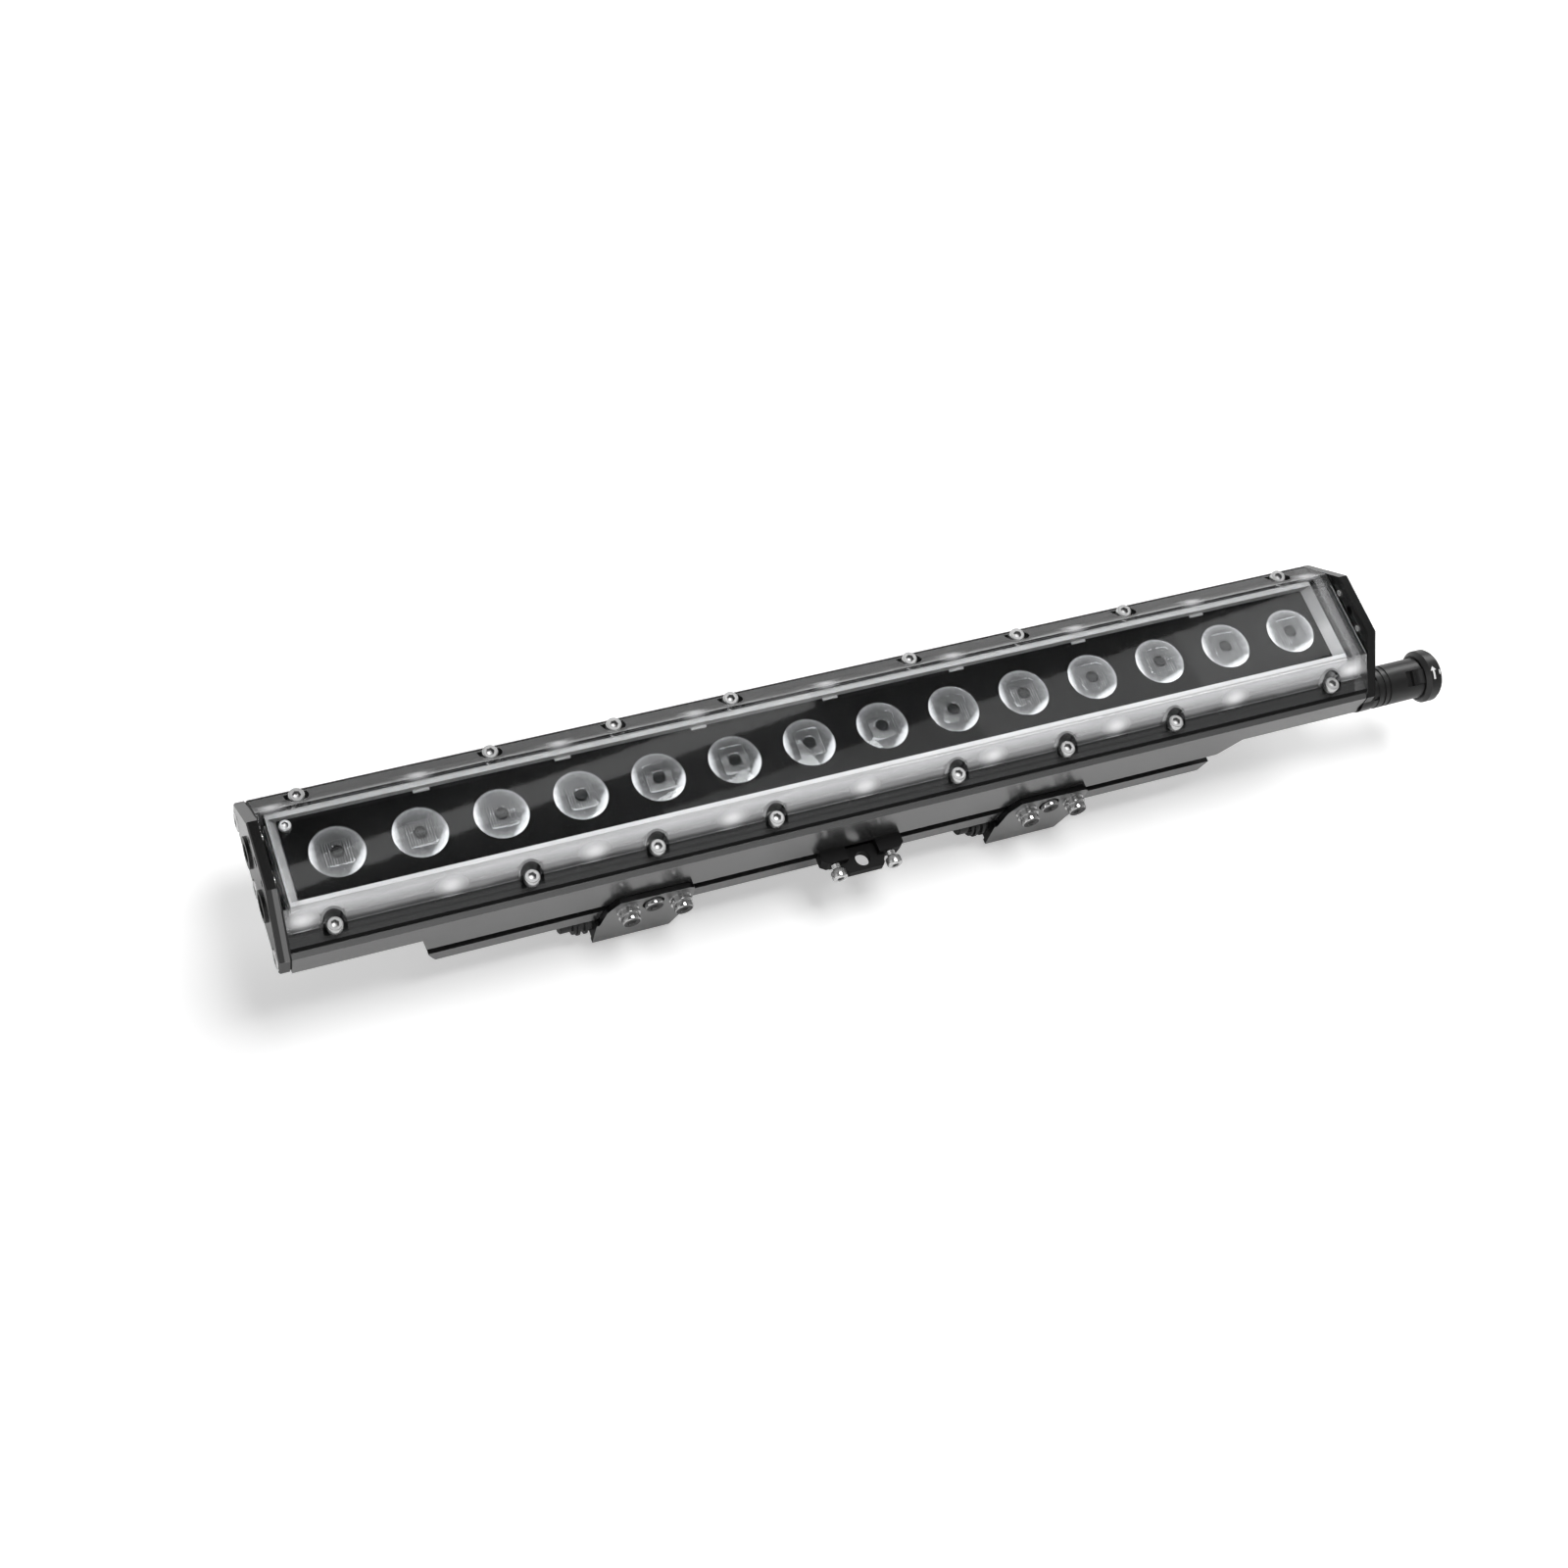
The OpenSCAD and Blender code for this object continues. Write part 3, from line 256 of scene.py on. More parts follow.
# End caps and safety lug.
# Milled from aluminium plate: the caps are anodised darker than the body, and the lug is dull black. The caps are lit
# and shaded copies of one finish: the left one is painted lighter, with paler painted light on its front slope, and the
# right one is painted darker, as shade.
CAP_FACE_X, CAP_FLAT_Y, CAP_SIDE_Z = -250.9, -15.8, 58


# The left cap's front slope, which takes the paler painted light.
def front_slope(along, across, level):
    return (along > CAP_FACE_X) * (across < CAP_FLAT_Y) * (level > CAP_SIDE_Z)


def moulded(name, tone, rough, grain=3.0, depth=0.01, shine=0.5):
    finish = Finish(name)
    fine = finish.noise(grain, 3)
    cloud = finish.noise(0.05, 2)
    return finish.done(finish.surface(
        base=finish.blend(cloud, tone * 0.8, tone * 1.25), rough=fine * 0.15 + (rough - 0.07), specular=shine,
        normal=finish.bump(fine, depth, 0.15)))


# Painted light and shade: the left cap is the lit copy, the right cap the shaded one.
dress(anodised("milled_cap_lit", 0.06, 0.16, False, front_slope, 0.2), "left_end_cap")
dress(anodised("milled_cap_shaded", 0.035, 0.2, False), "right_end_cap")
dress(moulded("dull_black", 0.005, 0.5, shine=0.12), "safety_lug")
soften(EDGE_BREAK, "left_end_cap", "right_end_cap", "safety_lug")


# Gaskets, plugs and connector.
# Black rubber, and moulded black plastic with a fine grain. The plugs screw into the caps, and the connector
# is held in the right one by its nut.
dress(moulded("black_rubber", 0.016, 0.7, 0.5, 0.0002), "left_cap_gasket", "right_cap_gasket", "cover_gasket",
      "lead_grommet", "supply_lead")
dress(moulded("black_plastic", 0.011, 0.36), "blanking_plugs", "vent_plug", "lens_holders", "connector_body",
      "connector_ring", "connector_latch", "connector_insert", "connector_nut")


# Screws.
# Stainless socket head screws with a knurled head, a hex recess and a rolled thread. One screw of each size
# is built here, and the repeat tree sets copies of it at its places, each turned by chance about its axis.
BODY_X = 7.95
SCREW_X = (236.6, 153.2, 97.6, 43.3)
SLOT_Z = 32.7
FULL_TURN = 6.28
KNURLS = 72


def repeat_tree():
    """Copies a piece to the points of a mesh. The turn attribute aims each copy, and spread turns it by chance."""
    tree = bpy.data.node_groups.new("repeat", "GeometryNodeTree")
    for name, kind, side in (("Places", "NodeSocketGeometry", "INPUT"), ("Piece", "NodeSocketObject", "INPUT"),
                             ("Size", "NodeSocketFloat", "INPUT"), ("Spread", "NodeSocketFloat", "INPUT"),
                             ("Seed", "NodeSocketInt", "INPUT"), ("Finish", "NodeSocketMaterial", "INPUT"),
                             ("Result", "NodeSocketGeometry", "OUTPUT")):
        tree.interface.new_socket(name, in_out=side, socket_type=kind)

    def node(kind, **settings):
        new = tree.nodes.new(kind)
        for key, value in settings.items():
            setattr(new, key, value)
        return new

    join = tree.links.new
    given, result = node("NodeGroupInput"), node("NodeGroupOutput")
    piece_info = node("GeometryNodeObjectInfo")
    aim = node("GeometryNodeInputNamedAttribute", data_type="FLOAT_VECTOR")
    aim.inputs["Name"].default_value = "turn"
    chance = node("FunctionNodeRandomValue", data_type="FLOAT")
    own_turn = node("ShaderNodeCombineXYZ")
    first, second = node("FunctionNodeEulerToRotation"), node("FunctionNodeEulerToRotation")
    turned_by = node("FunctionNodeRotateRotation", rotation_space="LOCAL")
    copies = node("GeometryNodeInstanceOnPoints")
    real, dressed = node("GeometryNodeRealizeInstances"), node("GeometryNodeSetMaterial")
    join(given.outputs["Piece"], piece_info.inputs["Object"])
    join(given.outputs["Spread"], [s for s in chance.inputs if s.name == "Max" and s.type == "VALUE"][0])
    join(given.outputs["Seed"], chance.inputs["Seed"])
    join([s for s in chance.outputs if s.type == "VALUE"][0], own_turn.inputs["Z"])
    join([s for s in aim.outputs if s.name == "Attribute" and s.enabled][0], first.inputs[0])
    join(own_turn.outputs[0], second.inputs[0])
    join(first.outputs[0], turned_by.inputs[0])
    join(second.outputs[0], turned_by.inputs[1])
    join(given.outputs["Places"], copies.inputs["Points"])
    join(piece_info.outputs["Geometry"], copies.inputs["Instance"])
    join(turned_by.outputs[0], copies.inputs["Rotation"])
    join(given.outputs["Size"], copies.inputs["Scale"])
    join(copies.outputs[0], real.inputs[0])
    join(real.outputs[0], dressed.inputs["Geometry"])
    join(given.outputs["Finish"], dressed.inputs["Material"])
    join(dressed.outputs[0], result.inputs["Result"])
    return tree


REPEAT = repeat_tree()


def repeated(name, mesh, finish, body, places, spread=0.0, seed=1, smooth=35):
    """Sets copies of a mesh at places of (point in millimetres, turn in degrees) and lets them ride on a body."""
    data = bpy.data.meshes.new(name + "_piece")
    mesh.to_mesh(data)
    mesh.free()
    data.shade_smooth()
    data.set_sharp_from_angle(angle=math.radians(smooth))
    master = bpy.data.objects.new(name + "_piece", data)
    points = bpy.data.meshes.new(name + "_places")
    points.from_pydata([tuple(c * MM for c in at) for at, turn in places], [], [])
    aim = points.attributes.new("turn", "FLOAT_VECTOR", "POINT")
    for item, (at, turn) in zip(aim.data, places):
        item.vector = [math.radians(a) for a in turn]
    holder = bpy.data.objects.new(name + "_places", points)
    scene.collection.objects.link(master)
    scene.collection.objects.link(holder)
    modifier = holder.modifiers.new("repeat", "NODES")
    modifier.node_group = REPEAT
    sockets = {item.name: item.identifier for item in REPEAT.interface.items_tree if item.in_out == "INPUT"}
    for key, value in (("Piece", master), ("Size", 1.0), ("Spread", spread), ("Seed", seed), ("Finish", finish)):
        modifier[sockets[key]] = value
    bpy.context.view_layer.update()
    whole = bpy.data.meshes.new_from_object(holder.evaluated_get(bpy.context.evaluated_depsgraph_get()))
    whole.name = name
    bpy.data.objects.remove(holder)
    bpy.data.objects.remove(master)
    made = bpy.data.objects.new(name, whole)
    scene.collection.objects.link(made)
    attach(made, body)
    return made


def rings_to_mesh(rings, marks=None):
    """Joins rings of points, from the first to the last, as one closed body. A ring of one point closes an end."""
    mesh = bmesh.new()
    # Each ring's mark is kept as painted shade for the finish to read.
    pit = mesh.verts.layers.float.new("pit")
    made = []
    for k, ring in enumerate(rings):
        made.append([mesh.verts.new(tuple(c * MM for c in p)) for p in ring])
        for v in made[-1]:
            v[pit] = marks[k] if marks else 0.0
    for low, high in zip(made, made[1:]):
        count = max(len(low), len(high))
        for k in range(count):
            corners = [low[k % len(low)], low[(k + 1) % len(low)], high[(k + 1) % len(high)], high[k % len(high)]]
            mesh.faces.new(list(dict.fromkeys(corners)))
    bmesh.ops.recalc_face_normals(mesh, faces=mesh.faces[:])
    return mesh


def circle(r, z, count):
    return [(0, 0, z)] if r == 0 else [
        (r * math.cos(2 * math.pi * k / count), r * math.sin(2 * math.pi * k / count), z) for k in range(count)]


def screw(shaft_r, head_r, head_h, hex_w, length, pitch=0.7, face=0.0):
    """Socket head screw that points down, with the underside of its head at the origin.

    The marks paint shade into the socket, and onto the head's face by the given share.
    """
    def hexagon(scale, z):
        ring = []
        for k in range(KNURLS):
            a = 2 * math.pi * k / KNURLS
            r = hex_w / 2 / math.cos((a % (math.pi / 3)) - math.pi / 6) * scale
            ring.append((r * math.cos(a), r * math.sin(a), z))
        return ring

    def knurl(z):
        return [(p[0] * (1 - 0.035 * (k % 2)), p[1] * (1 - 0.035 * (k % 2)), z)
                for k, p in enumerate(circle(head_r, z, KNURLS))]

    socket_z = head_h * 0.45
    rings = [circle(0, socket_z - 0.4, KNURLS), hexagon(0.97, socket_z), hexagon(1, head_h - 0.25),
             hexagon(1.08, head_h), circle(head_r - 0.6, head_h, KNURLS), circle(head_r - 0.2, head_h - 0.3, KNURLS),
             knurl(head_h - 0.6), knurl(0.4), circle(head_r - 0.25, 0, KNURLS), circle(shaft_r + 0.15, 0, KNURLS),
             circle(shaft_r, -0.3, KNURLS)]
    # Painted shade: the socket walls dark, and the head's face by the given share.
    marks = [0.1, 0.55, 0.65, face, face]
    z = -0.9
    while z - pitch > -length:
        rings += [circle(shaft_r, z, KNURLS), circle(shaft_r - pitch * 0.3, z - pitch / 2, KNURLS)]
        z -= pitch
    rings += [circle(shaft_r - 0.3, -length + 0.3, KNURLS), circle(shaft_r - 0.6, -length, KNURLS),
              circle(0, -length, KNURLS)]
    return rings_to_mesh(rings, marks + [0] * (len(rings) - len(marks)))


def turned_metal(name, tone, rough):
    """Bright or blackened steel, with painted shade from the mesh's marks: black where a mark is 1."""
    finish = Finish(name)
    fine = finish.noise(5, 3)
    cloud = finish.noise(0.4, 2)
    pit = finish.add("ShaderNodeAttribute", {"attribute_name": "pit"}, output="Fac")
    base = finish.blend(pit, finish.blend(cloud, tone * 0.85, tone * 1.1), 0.012)
    return finish.done(finish.surface(
        base=base, metal=0.85, rough=fine * 0.12 + (rough - 0.06) + pit * 0.5, normal=finish.bump(fine, 0.01, 0.3)))


steel = turned_metal("stainless_steel", 0.75, 0.24)
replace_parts(repeated(
    "cover_screw_set", screw(shaft_r=1.6, head_r=3.5, head_h=4, hex_w=3, length=12, face=0.55), steel, "light_body",
    [((BODY_X + end * x, side * 30.3, 64.25), (0, 0, 0)) for x in SCREW_X for end in (-1, 1) for side in (-1, 1)],
    FULL_TURN, 4), "cover_screws")
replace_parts(repeated(
    "mask_corner_screw", screw(shaft_r=1.45, head_r=2.75, head_h=2.2, hex_w=2.5, length=14.1, pitch=0.5, face=0.3),
    steel, "light_body", [((BODY_X - 245.2, 15.8, 69.5), (0, 0, 20))]), "mask_screw")
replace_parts(repeated(
    "cap_screw_set", screw(shaft_r=2, head_r=4.25, head_h=2.6, hex_w=4, length=12, pitch=0.8), steel, "light_body",
    [((BODY_X + end * 259.14, y, 51), (0, end * 90, 0)) for end, y in (
        (-1, -32.3), (-1, 0), (-1, 32.3), (1, 0), (1, 32.3))], FULL_TURN, 7), "cap_screws")
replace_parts(repeated(
    "lug_screw_set", screw(shaft_r=2, head_r=3.5, head_h=4, hex_w=3, length=16.7), steel, "light_body",
    [((BODY_X + x, -47.2, SLOT_Z), (90, 0, 0)) for x in (-13.3, 13.3)], FULL_TURN, 3), "lug_screws")
dress(steel, "cap_set_screws", "driver_end_screws", "box_screws", "lug_nuts")


# Brackets.
# Steel plate with a dark coat, with paler painted light on the ear's face. Three bolts and slot nuts hold each ear, and
# a black oxide bolt with a stack of dark washers is each foot's hinge. The bolts' faces are painted dark, as shade.
EAR_FACE_Y, EAR_BOLT_X = -40.3, 12


def ear_face(along, across, level):
    return across < EAR_FACE_Y


# Painted light: the ear's face takes a paler tone than the coat.
coat = anodised("coated_plate", 0.014, 0.36, False, ear_face, 0.25)
dark_steel = turned_metal("black_oxide", 0.04, 0.26)
bolt_steel = turned_metal("bolt_steel", 0.6, 0.12)
for side, middle in (("left", -89.95), ("right", 102.85)):
    body = side + "_bracket"
    dress(coat, side + "_ear", side + "_foot")
    soften(EDGE_BREAK, side + "_ear", side + "_foot")
    dress(dark_steel, side + "_hinge_washers", side + "_hinge_bolt")
    dress(steel, side + "_slot_nuts", side + "_hinge_nut")
    dress(bolt_steel, side + "_ear_washers")
    # The bolts' heads take nearly full painted shade on their faces.
    bolt = dict(shaft_r=2.5, head_r=4.25, head_h=3.7, hex_w=4, pitch=0.8, face=0.9)
    outer = repeated(side + "_outer_bolts", screw(length=13.5, **bolt), bolt_steel, body, [
        ((middle + x, -43.7, SLOT_Z), (90, 0, 0)) for x in (-EAR_BOLT_X, EAR_BOLT_X)], FULL_TURN, 5)
    inner = repeated(side + "_inner_bolt", screw(length=8.9, **bolt), bolt_steel, body, [
        ((middle, -39.1, SLOT_Z), (90, 0, 0))], FULL_TURN, 6)
    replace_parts(outer, side + "_ear_bolts")


# Cover.
# Clear moulded plastic, seen through and mirrored, and screwed down through pockets in its flanks. Painted light glows
# down its front flank and at its right end, with a painted highlight over each clip and along the rear edge of its top,
# and painted shade darkens the pockets, a band low on the front flank and the rear flank. It is dark where it meets its
# gasket.
CLIP_PITCH, CLIP_X = 62.0, 6.95
FLAT_END_Y, GASKET_Y = 24.9, 34.6
FLANK_RUN, FLANK_TOP = 1.0233, 97.8


def clear(name, tint, rough, waves):
    """Clear plastic that lets the light of a shadow ray through."""
    finish = Finish(name)
    glass = finish.surface(base=(*tint, 1), rough=rough, clear=1.0, ior=1.45,
                           normal=finish.bump(finish.noise(0.06), waves, 0.15))
    through = finish.add("ShaderNodeBsdfTransparent", None, {"Color": (*tint, 1)})
    path = finish.add("ShaderNodeLightPath", output="Is Shadow Ray")
    return finish, path, glass, through


cover, path, glass, through = clear("clear_cover", (0.97, 0.975, 0.98), 0.02, 0.05)
along, across, level = cover.axes()
side = cover.op("ABSOLUTE", across)
reach = cover.op("ABSOLUTE", along - BODY_X)
wander = cover.noise(0.09, 3, 0.6, (0.5, 1, 1)) * 2.4 - 1.2
# Painted light: a glow down the front flank, and a thin painted highlight along the rear edge of the top.
painted_flank_light = cover.ramp(across + wander, -36, 36, [
    (-35.6, 0.004), (-33, 0.008), (-31, 0.014), (-30, 0.03), (-29.3, 0.09), (-28.5, 0.2), (-27.7, 0.25),
    (-26.2, 0.23), (-22.9, 0.21), (-22.2, 0.0), (22.4, 0.0), (22.7, 0.12), (23.0, 0.0)])
# Painted highlight: a bright spot on both flanks over each clip.
off = cover.op("PINGPONG", along - CLIP_X, CLIP_PITCH / 2)
dip = side - 26.8 + (across > 0) * 1.6
painted_clip_highlight = cover.ramp(off * off * 0.012 + dip * dip * 0.06, 0, 1, [
    (0, 0.8), (0.06, 0.6), (0.2, 0.3), (0.4, 0.12), (0.7, 0.03), (1, 0)])
# Painted light: a glow at the cover's right end.
end = cover.ramp(along - BODY_X, 249, 256, [(249, 0), (249.4, 0.08), (253, 0.05), (256, 0.03)])
# The screw pockets, kept clear of the painted light.
by_screw = cover.ramp(reach, 0, 256, sorted(
    (x + d, shade) for x in SCREW_X for d, shade in ((-5.6, 0), (-5.2, 1), (5.2, 1), (5.6, 0))))
pocket = by_screw * (side > FLAT_END_Y) * (level + side * FLANK_RUN < FLANK_TOP)
painted_light = cover.add("ShaderNodeMath", {"operation": "ADD", "use_clamp": True}, {0: painted_flank_light + end, 1: painted_clip_highlight}) * (1 - pocket)
painted_light_white = cover.add("ShaderNodeBsdfDiffuse", None, {"Color": (0.85, 0.85, 0.86, 1)})
# Painted shade, half dark in the screw pockets, in a band low on the front flank and over the rear flank. Past the
# gasket line the cover is near black.
shade = cover.op("MAXIMUM", (side > GASKET_Y) * 0.93, pocket * 0.5 + cover.ramp(across + wander * 0.5, -36, 36, [
    (-31.6, 0), (-30.6, 0.5), (-29.4, 0.5), (-28.6, 0), (23, 0), (25, 0.4), (36, 0.4)]))
dark = cover.add("ShaderNodeBsdfDiffuse", None, {"Color": (0.008, 0.008, 0.008, 1)})
lit = cover.mix(shade, cover.mix(painted_light, glass, painted_light_white), dark)
dress(cover.done(cover.mix(path, lit, through)), "cover_window")


# Inner frame and mask.
# A white moulded frame round the lenses, with a tab over each clip on its rear side, and a polished black mask inside
# it. The frame's tone is painted light and shade: lit on its front top, darker on its rear top, at its end walls and
# down its outer walls, with a painted highlight on its right end wall.
white = Finish("white_plastic")
along, across, level = white.axes()
# Painted shade: the end walls are darker than the long sides.
end_wall_shade = white.ramp(along - BODY_X, -253, 253, [(-253, 0.75), (-247.9, 0.75), (-247.5, 1.0), (241.9, 1.0),
                                              (242.3, 0.8), (253, 0.8)])
# Painted light and shade across the frame: the front top lit, the rear top darker, the outer walls in shade.
rows = white.ramp(across, -26, 26, [(-26, 0.04), (-25, 0.1), (-22.5, 0.45), (-18, 0.45), (18, 0.28), (22.5, 0.28),
                                    (23, 0.06), (26, 0.06)])
glint = (along > 249.9) * white.ramp(across, -25, 25, [(-25, 0.1), (-12, 0.3), (-4, 0.6), (2, 0.1), (25, 0)])
tone = end_wall_shade * rows * (white.noise(0.1) * 0.1 + 0.95) * (glint + 1)
dress(white.done(white.surface(base=tone, rough=0.4)), "light_frame")
mask = Finish("gloss_mask")
cloud = mask.noise(0.1)
dress(mask.done(mask.surface(base=mask.blend(cloud, 0.0008, 0.0014), rough=cloud * 0.04 + 0.09)), "lens_mask")
tab = bmesh.new()
bmesh.ops.create_cube(tab, size=MM, matrix=Matrix.Diagonal((7, 1.4, 0.7, 1)))
repeated("frame_tabs", tab, white.material, "light_body", [
    ((CLIP_X + k * CLIP_PITCH, 18.6, 69.8), (0, 0, 0)) for k in range(-3, 4)])


# Lenses.
# Each is moulded clear, with a square grid of small pillows on its face, over a pale disc round a dark ring, and a cup
# down to the light source. The disc is painted with the light seen into the lens: painted light rising towards the rim
# and varying along the row, crescents of painted highlight, rows of fine bright dashes as painted glints of the
# pillows, and painted shade in their grooves and towards the rear.
LENS_COUNT, LENS_PITCH, LENS_R, LENS_Z = 14, 35, 11.75, 69.5
GRID_HALF, GRID_IN, PILLOW, PILLOW_H = 6.6, 2.6, 1.1, 0.12


def lens_face(x, y):
    """Height of the lens's face over its rim: a low dome with the pillows."""
    r = math.hypot(x, y)
    edge = (abs(x) ** 6 + abs(y) ** 6) ** (1 / 6)
    fade = min(1, max(0, (GRID_HALF - edge) / 0.4)) * min(1, max(0, (r - GRID_IN) / 0.4))
    wave = abs(math.sin(math.pi * x / PILLOW)) * abs(math.sin(math.pi * y / PILLOW))
    return 0.35 * (1 - (r / LENS_R) ** 2) + PILLOW_H * fade * math.sqrt(wave)


def lens():
    """A lens's clear face: a square patch of cells, then rings out to the rim."""
    mesh = bmesh.new()
    n = 40
    step = 14.0 / n
    grid = [[mesh.verts.new(((i - n / 2) * step, (j - n / 2) * step, lens_face((i - n / 2) * step, (j - n / 2) * step)))
             for j in range(n + 1)] for i in range(n + 1)]
    for i in range(n):
        for j in range(n):
            mesh.faces.new((grid[i][j], grid[i + 1][j], grid[i + 1][j + 1], grid[i][j + 1]))
    border = [grid[i][0] for i in range(n)] + [grid[n][j] for j in range(n)] + [
        grid[i][n] for i in range(n, 0, -1)] + [grid[0][j] for j in range(n, 0, -1)]
    last = border
    for share, drop in ((0.35, None), (0.7, None), (0.96, None), (0.985, -0.02), (1, -0.2), (1, -0.86)):
        ring = []
        for v in border:
            angle = math.atan2(v.co.y, v.co.x)
            x, y = LENS_R * share * math.cos(angle), LENS_R * share * math.sin(angle)
            if drop is None:
                x, y = v.co.x * (1 - share) + x, v.co.y * (1 - share) + y
            ring.append(mesh.verts.new((x, y, lens_face(x, y) if drop is None else drop)))
        for k in range(len(border)):
            mesh.faces.new((last[k], ring[k], ring[(k + 1) % len(border)], last[(k + 1) % len(border)]))
        last = ring
    mesh.faces.new(last)
    bmesh.ops.scale(mesh, vec=(MM, MM, MM), verts=mesh.verts[:])
    bmesh.ops.recalc_face_normals(mesh, faces=mesh.faces[:])
    return mesh


lens_places = [((BODY_X + (i - (LENS_COUNT - 1) / 2) * LENS_PITCH, 0, LENS_Z), (0, 0, 0)) for i in range(LENS_COUNT)]
lens_finish, path, glass, through = clear("clear_lens", (0.96, 0.965, 0.97), 0.03, 0.0)
bodies = repeated("lens_bodies", lens(), lens_finish.done(lens_finish.mix(path, glass, through)), "light_body",
                  lens_places, smooth=60)
disc = Finish("lens_disc")
along, across, level = disc.axes()
side_x = disc.op("WRAP", along - (BODY_X + LENS_PITCH / 2), LENS_PITCH / 2, -LENS_PITCH / 2)
reach = disc.op("SQRT", side_x * side_x + across * across)
# Painted light that varies along the row, brightest at the right end.
light_along_row = disc.ramp(along, -250, 250, [
    (-220, 0.5), (-185, 0.68), (-150, 0.76), (-115, 0.72), (-80, 0.52), (-40, 0.45), (70, 0.55), (250, 1.0)]) * 2
swing = disc.ramp(along, -250, 250, [(0, 0), (150, 1)])
mottle = disc.noise(0.45, 3, 0.6) * 0.9 + 0.55
# The disc's tone: a dark centre and ring, then painted light rising towards the rim.
plain_tone = disc.ramp(reach, 0, 12, [(0, 0.014), (1.7, 0.014), (2.1, 0.004), (2.7, 0.006), (3.1, 0.06), (5.5, 0.075),
                                      (8, 0.095), (10.2, 0.16), (11.2, 0.25), (12, 0.14)]) * light_along_row * mottle
# Painted highlights: a crescent at the left of each disc and one at the lower right, which turns along the row.
left_glow = disc.ramp(side_x * -1.0 + across * 0.05 + mottle, 0, 12, [(9.4, 0), (11.5, 0.4), (12, 0.45)])
right_glow = disc.ramp(side_x * (0.78 - swing * 0.5) - across * (0.62 + swing * 0.33) + mottle, 0, 12, [
    (8.9, 0), (10.4, 0.42), (12, 0.5)])
rear_shade = disc.ramp(across, -12, 12, [(-12, 1), (2, 1), (8, 0.8), (12, 0.85)])
grid_edge = disc.op("MAXIMUM", disc.op("ABSOLUTE", side_x), disc.op("ABSOLUTE", across + 0.3))
in_grid = (grid_edge < 6.2) * (reach > 3.2) * (across < 4.6)
# Noise that breaks up the painted glints.
glint_breakup = disc.add("ShaderNodeMapRange", {"clamp": True}, {
    "Value": disc.noise(0.35, 2), "From Min": 0.42, "From Max": 0.6, "To Min": 0.15, "To Max": 1.0})
column, row = disc.op("PINGPONG", side_x, PILLOW / 2), disc.op("PINGPONG", across, PILLOW / 2)
# Painted glints of the pillows: fine dashes on the grid's left, right and front, fading towards the rear.
pillow_glints = in_grid * glint_breakup * (grid_edge > GRID_IN) * (column < 0.2) * (row < 0.36) * disc.ramp(across, -12, 12, [
    (-12, 1), (1.5, 0.8), (4, 0.12), (12, 0)])
# Painted shade in the grooves between the pillows.
lines = in_grid * (column > 0.42)
tone = (plain_tone + left_glow + right_glow) * rear_shade
tone = disc.op("MINIMUM", disc.op("MAXIMUM", tone + pillow_glints * 0.34 - lines * 0.05, 0.006), 0.95)
discs = repeated("lens_discs", rings_to_mesh([circle(r, z, 48) for r, z in (
    (0, -0.9), (11.5, -0.9), (11.7, -1.1), (11.7, -2.3), (10.3, -2.4), (9.3, -5), (7.6, -8.5), (5, -11.9), (3.1, -11.9),
    (3.1, -8), (0, -8))]), disc.done(disc.surface(base=tone, rough=0.6, specular=0.0)), "light_body", lens_places)
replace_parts(bodies, "lenses")


# Connector marks.
# Raised white arrows, moulded on the black locking ring: one points round it the way it locks, and a smaller
# one marks where it stands.
RING_X, SOCKET_Y, SOCKET_Z = BODY_X + 291.34, -29.0, 49.0
MARK_HEIGHT = 0.12


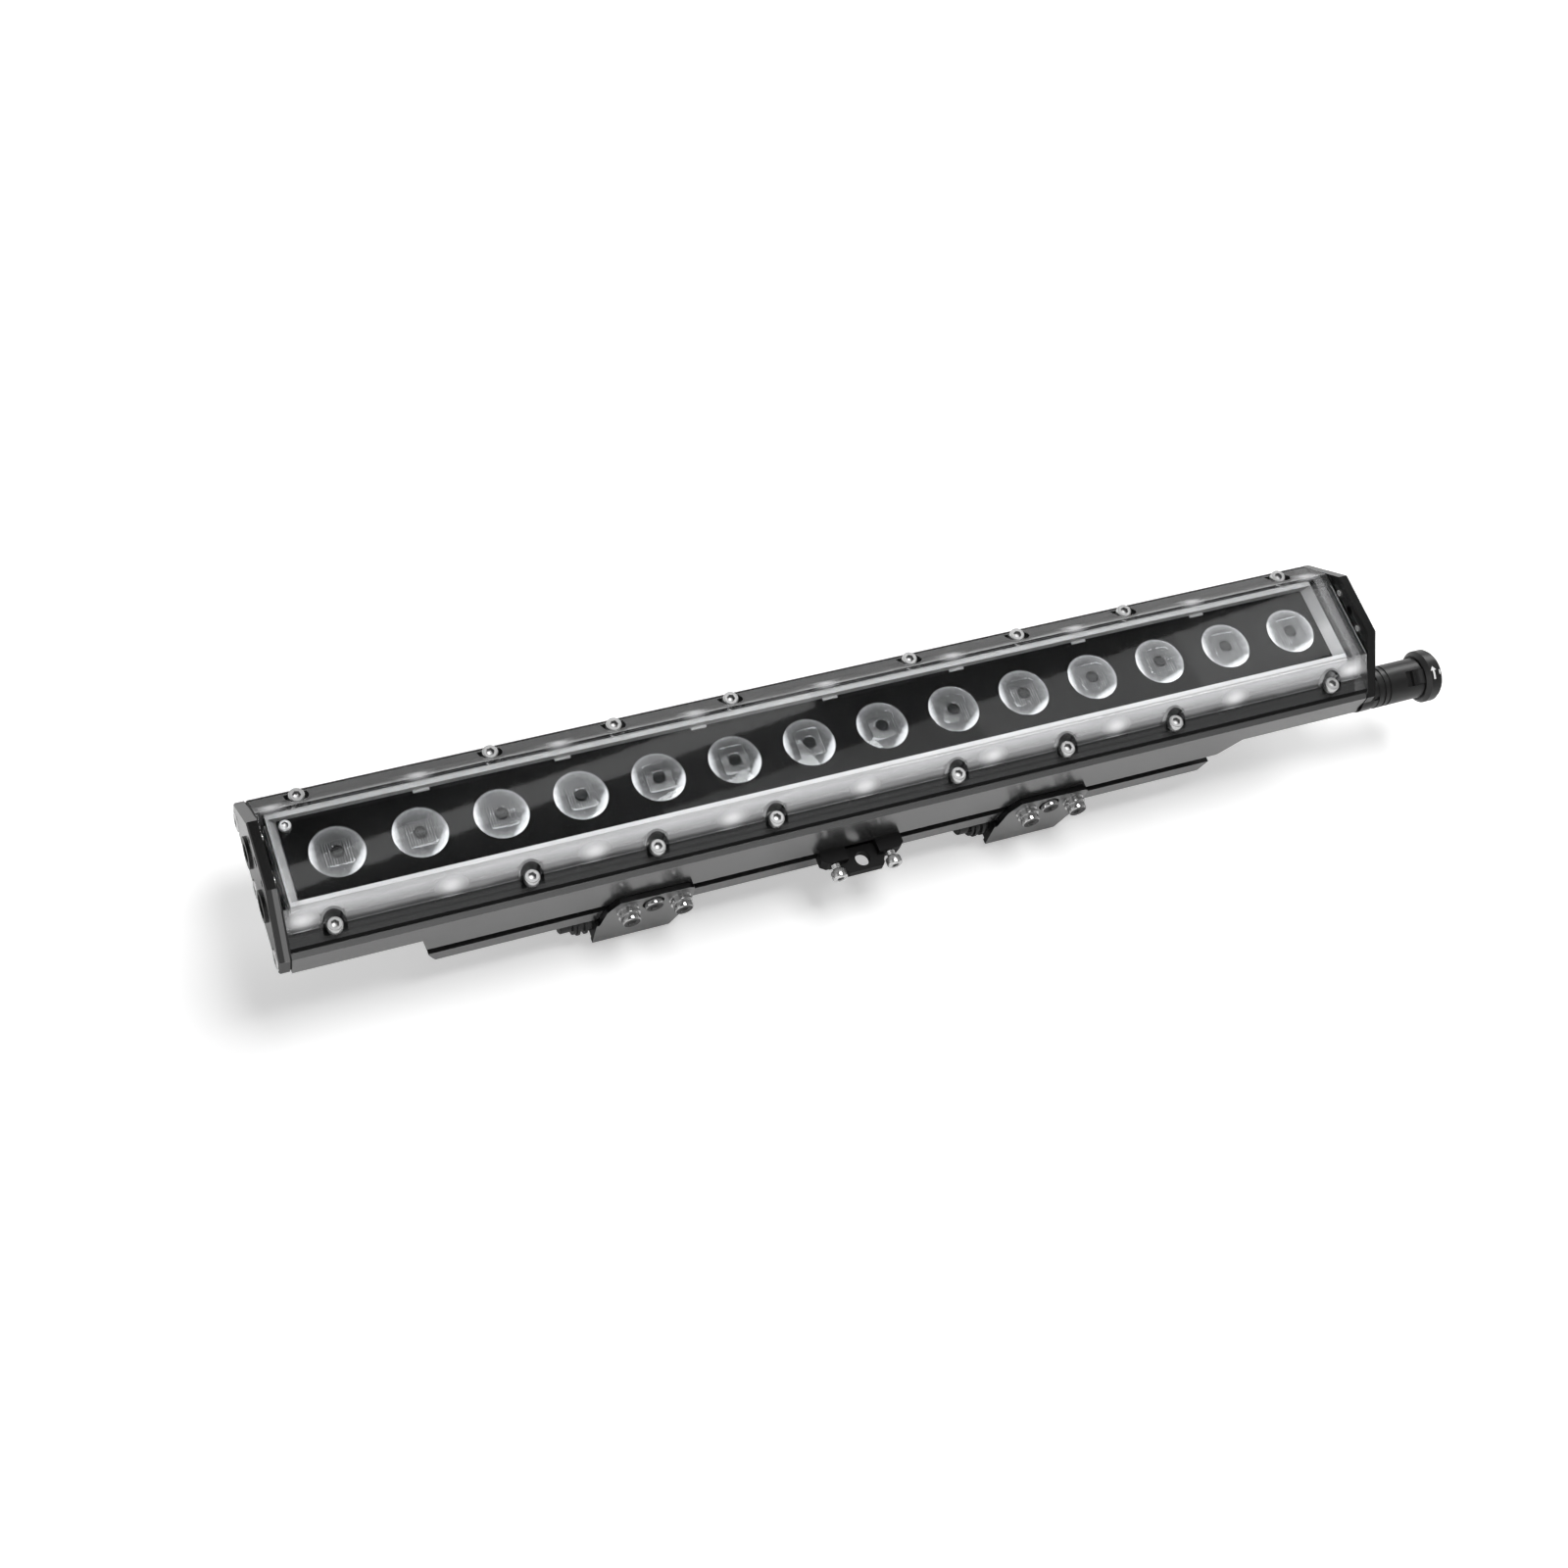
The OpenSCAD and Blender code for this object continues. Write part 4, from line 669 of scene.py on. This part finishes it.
def mark(rows, radius):
    """A raised mark from rows of (angle in degrees, axial middle, half width) round the connector's axis."""
    rings = []
    for angle, middle, half in rows:
        a = math.radians(angle)
        rings.append([(middle + dx, SOCKET_Y - r * math.sin(a), SOCKET_Z + r * math.cos(a))
                      for r, dx in ((radius, -half), (radius, half), (radius + MARK_HEIGHT, half),
                                    (radius + MARK_HEIGHT, -half))])
    first, last = ([tuple(sum(p[k] for p in ring) / 4 for k in range(3))] for ring in (rings[0], rings[-1]))
    return rings_to_mesh([first] + rings + [last])


ink = Finish("white_mark")
ink_finish = ink.done(ink.surface(base=ink.blend(ink.noise(2), 0.7, 0.85), rough=0.5))
round_arrow = [(8, 0.02), (17, 1.5), (17.3, 0.5), (27, 0.5), (37, 0.5)]
repeated("ring_arrow", mark([(a, RING_X + 3.6, w) for a, w in round_arrow], 12.5), ink_finish, "connector_ring",
         [((0, 0, 0), (0, 0, 0))])
index_mark = [(18, 0.5), (22, 0.5), (22.3, 1.1), (24.7, 1.1), (25, 0.5), (29, 0.5)]
repeated("ring_index", mark([(a, RING_X + 7.3, w * 0.6) for a, w in index_mark], 11.6), ink_finish,
         "connector_ring", [((0, 0, 0), (0, 0, 0))])


# Board and electronics.
# Behind the mask and inside the driver box: lacquered boards, moulded parts, rubber and plated brass. The
# connector's contacts and seal are here too.

def plain(name, colour, rough, metal=0.0):
    finish = Finish(name)
    fine = finish.noise(1.5, 3)
    low = tuple(c * 0.88 for c in colour)
    return finish.done(finish.surface(base=finish.blend(fine, low, colour), rough=fine * 0.1 + rough, metal=metal))


dress(plain("white_lacquer", (0.8, 0.8, 0.79), 0.35), "led_board")
dress(plain("yellow_phosphor", (0.8, 0.6, 0.15), 0.4), "leds")
dress(plain("grey_pad", (0.4, 0.4, 0.42), 0.8), "thermal_pad")
dress(plain("potting", (0.06, 0.065, 0.07), 0.6), "power_supply")
dress(plain("green_lacquer", (0.03, 0.16, 0.07), 0.35), "control_board")
dress(plain("terminal_plastic", (0.55, 0.55, 0.52), 0.5), "terminal_block")
dress(plain("red_insulation", (0.45, 0.03, 0.03), 0.5), "led_leads")
dress(plain("plated_brass", (0.75, 0.6, 0.3), 0.25, 1.0), "connector_contacts")
dress(plain("red_seal", (0.3, 0.03, 0.03), 0.6), "connector_seal")
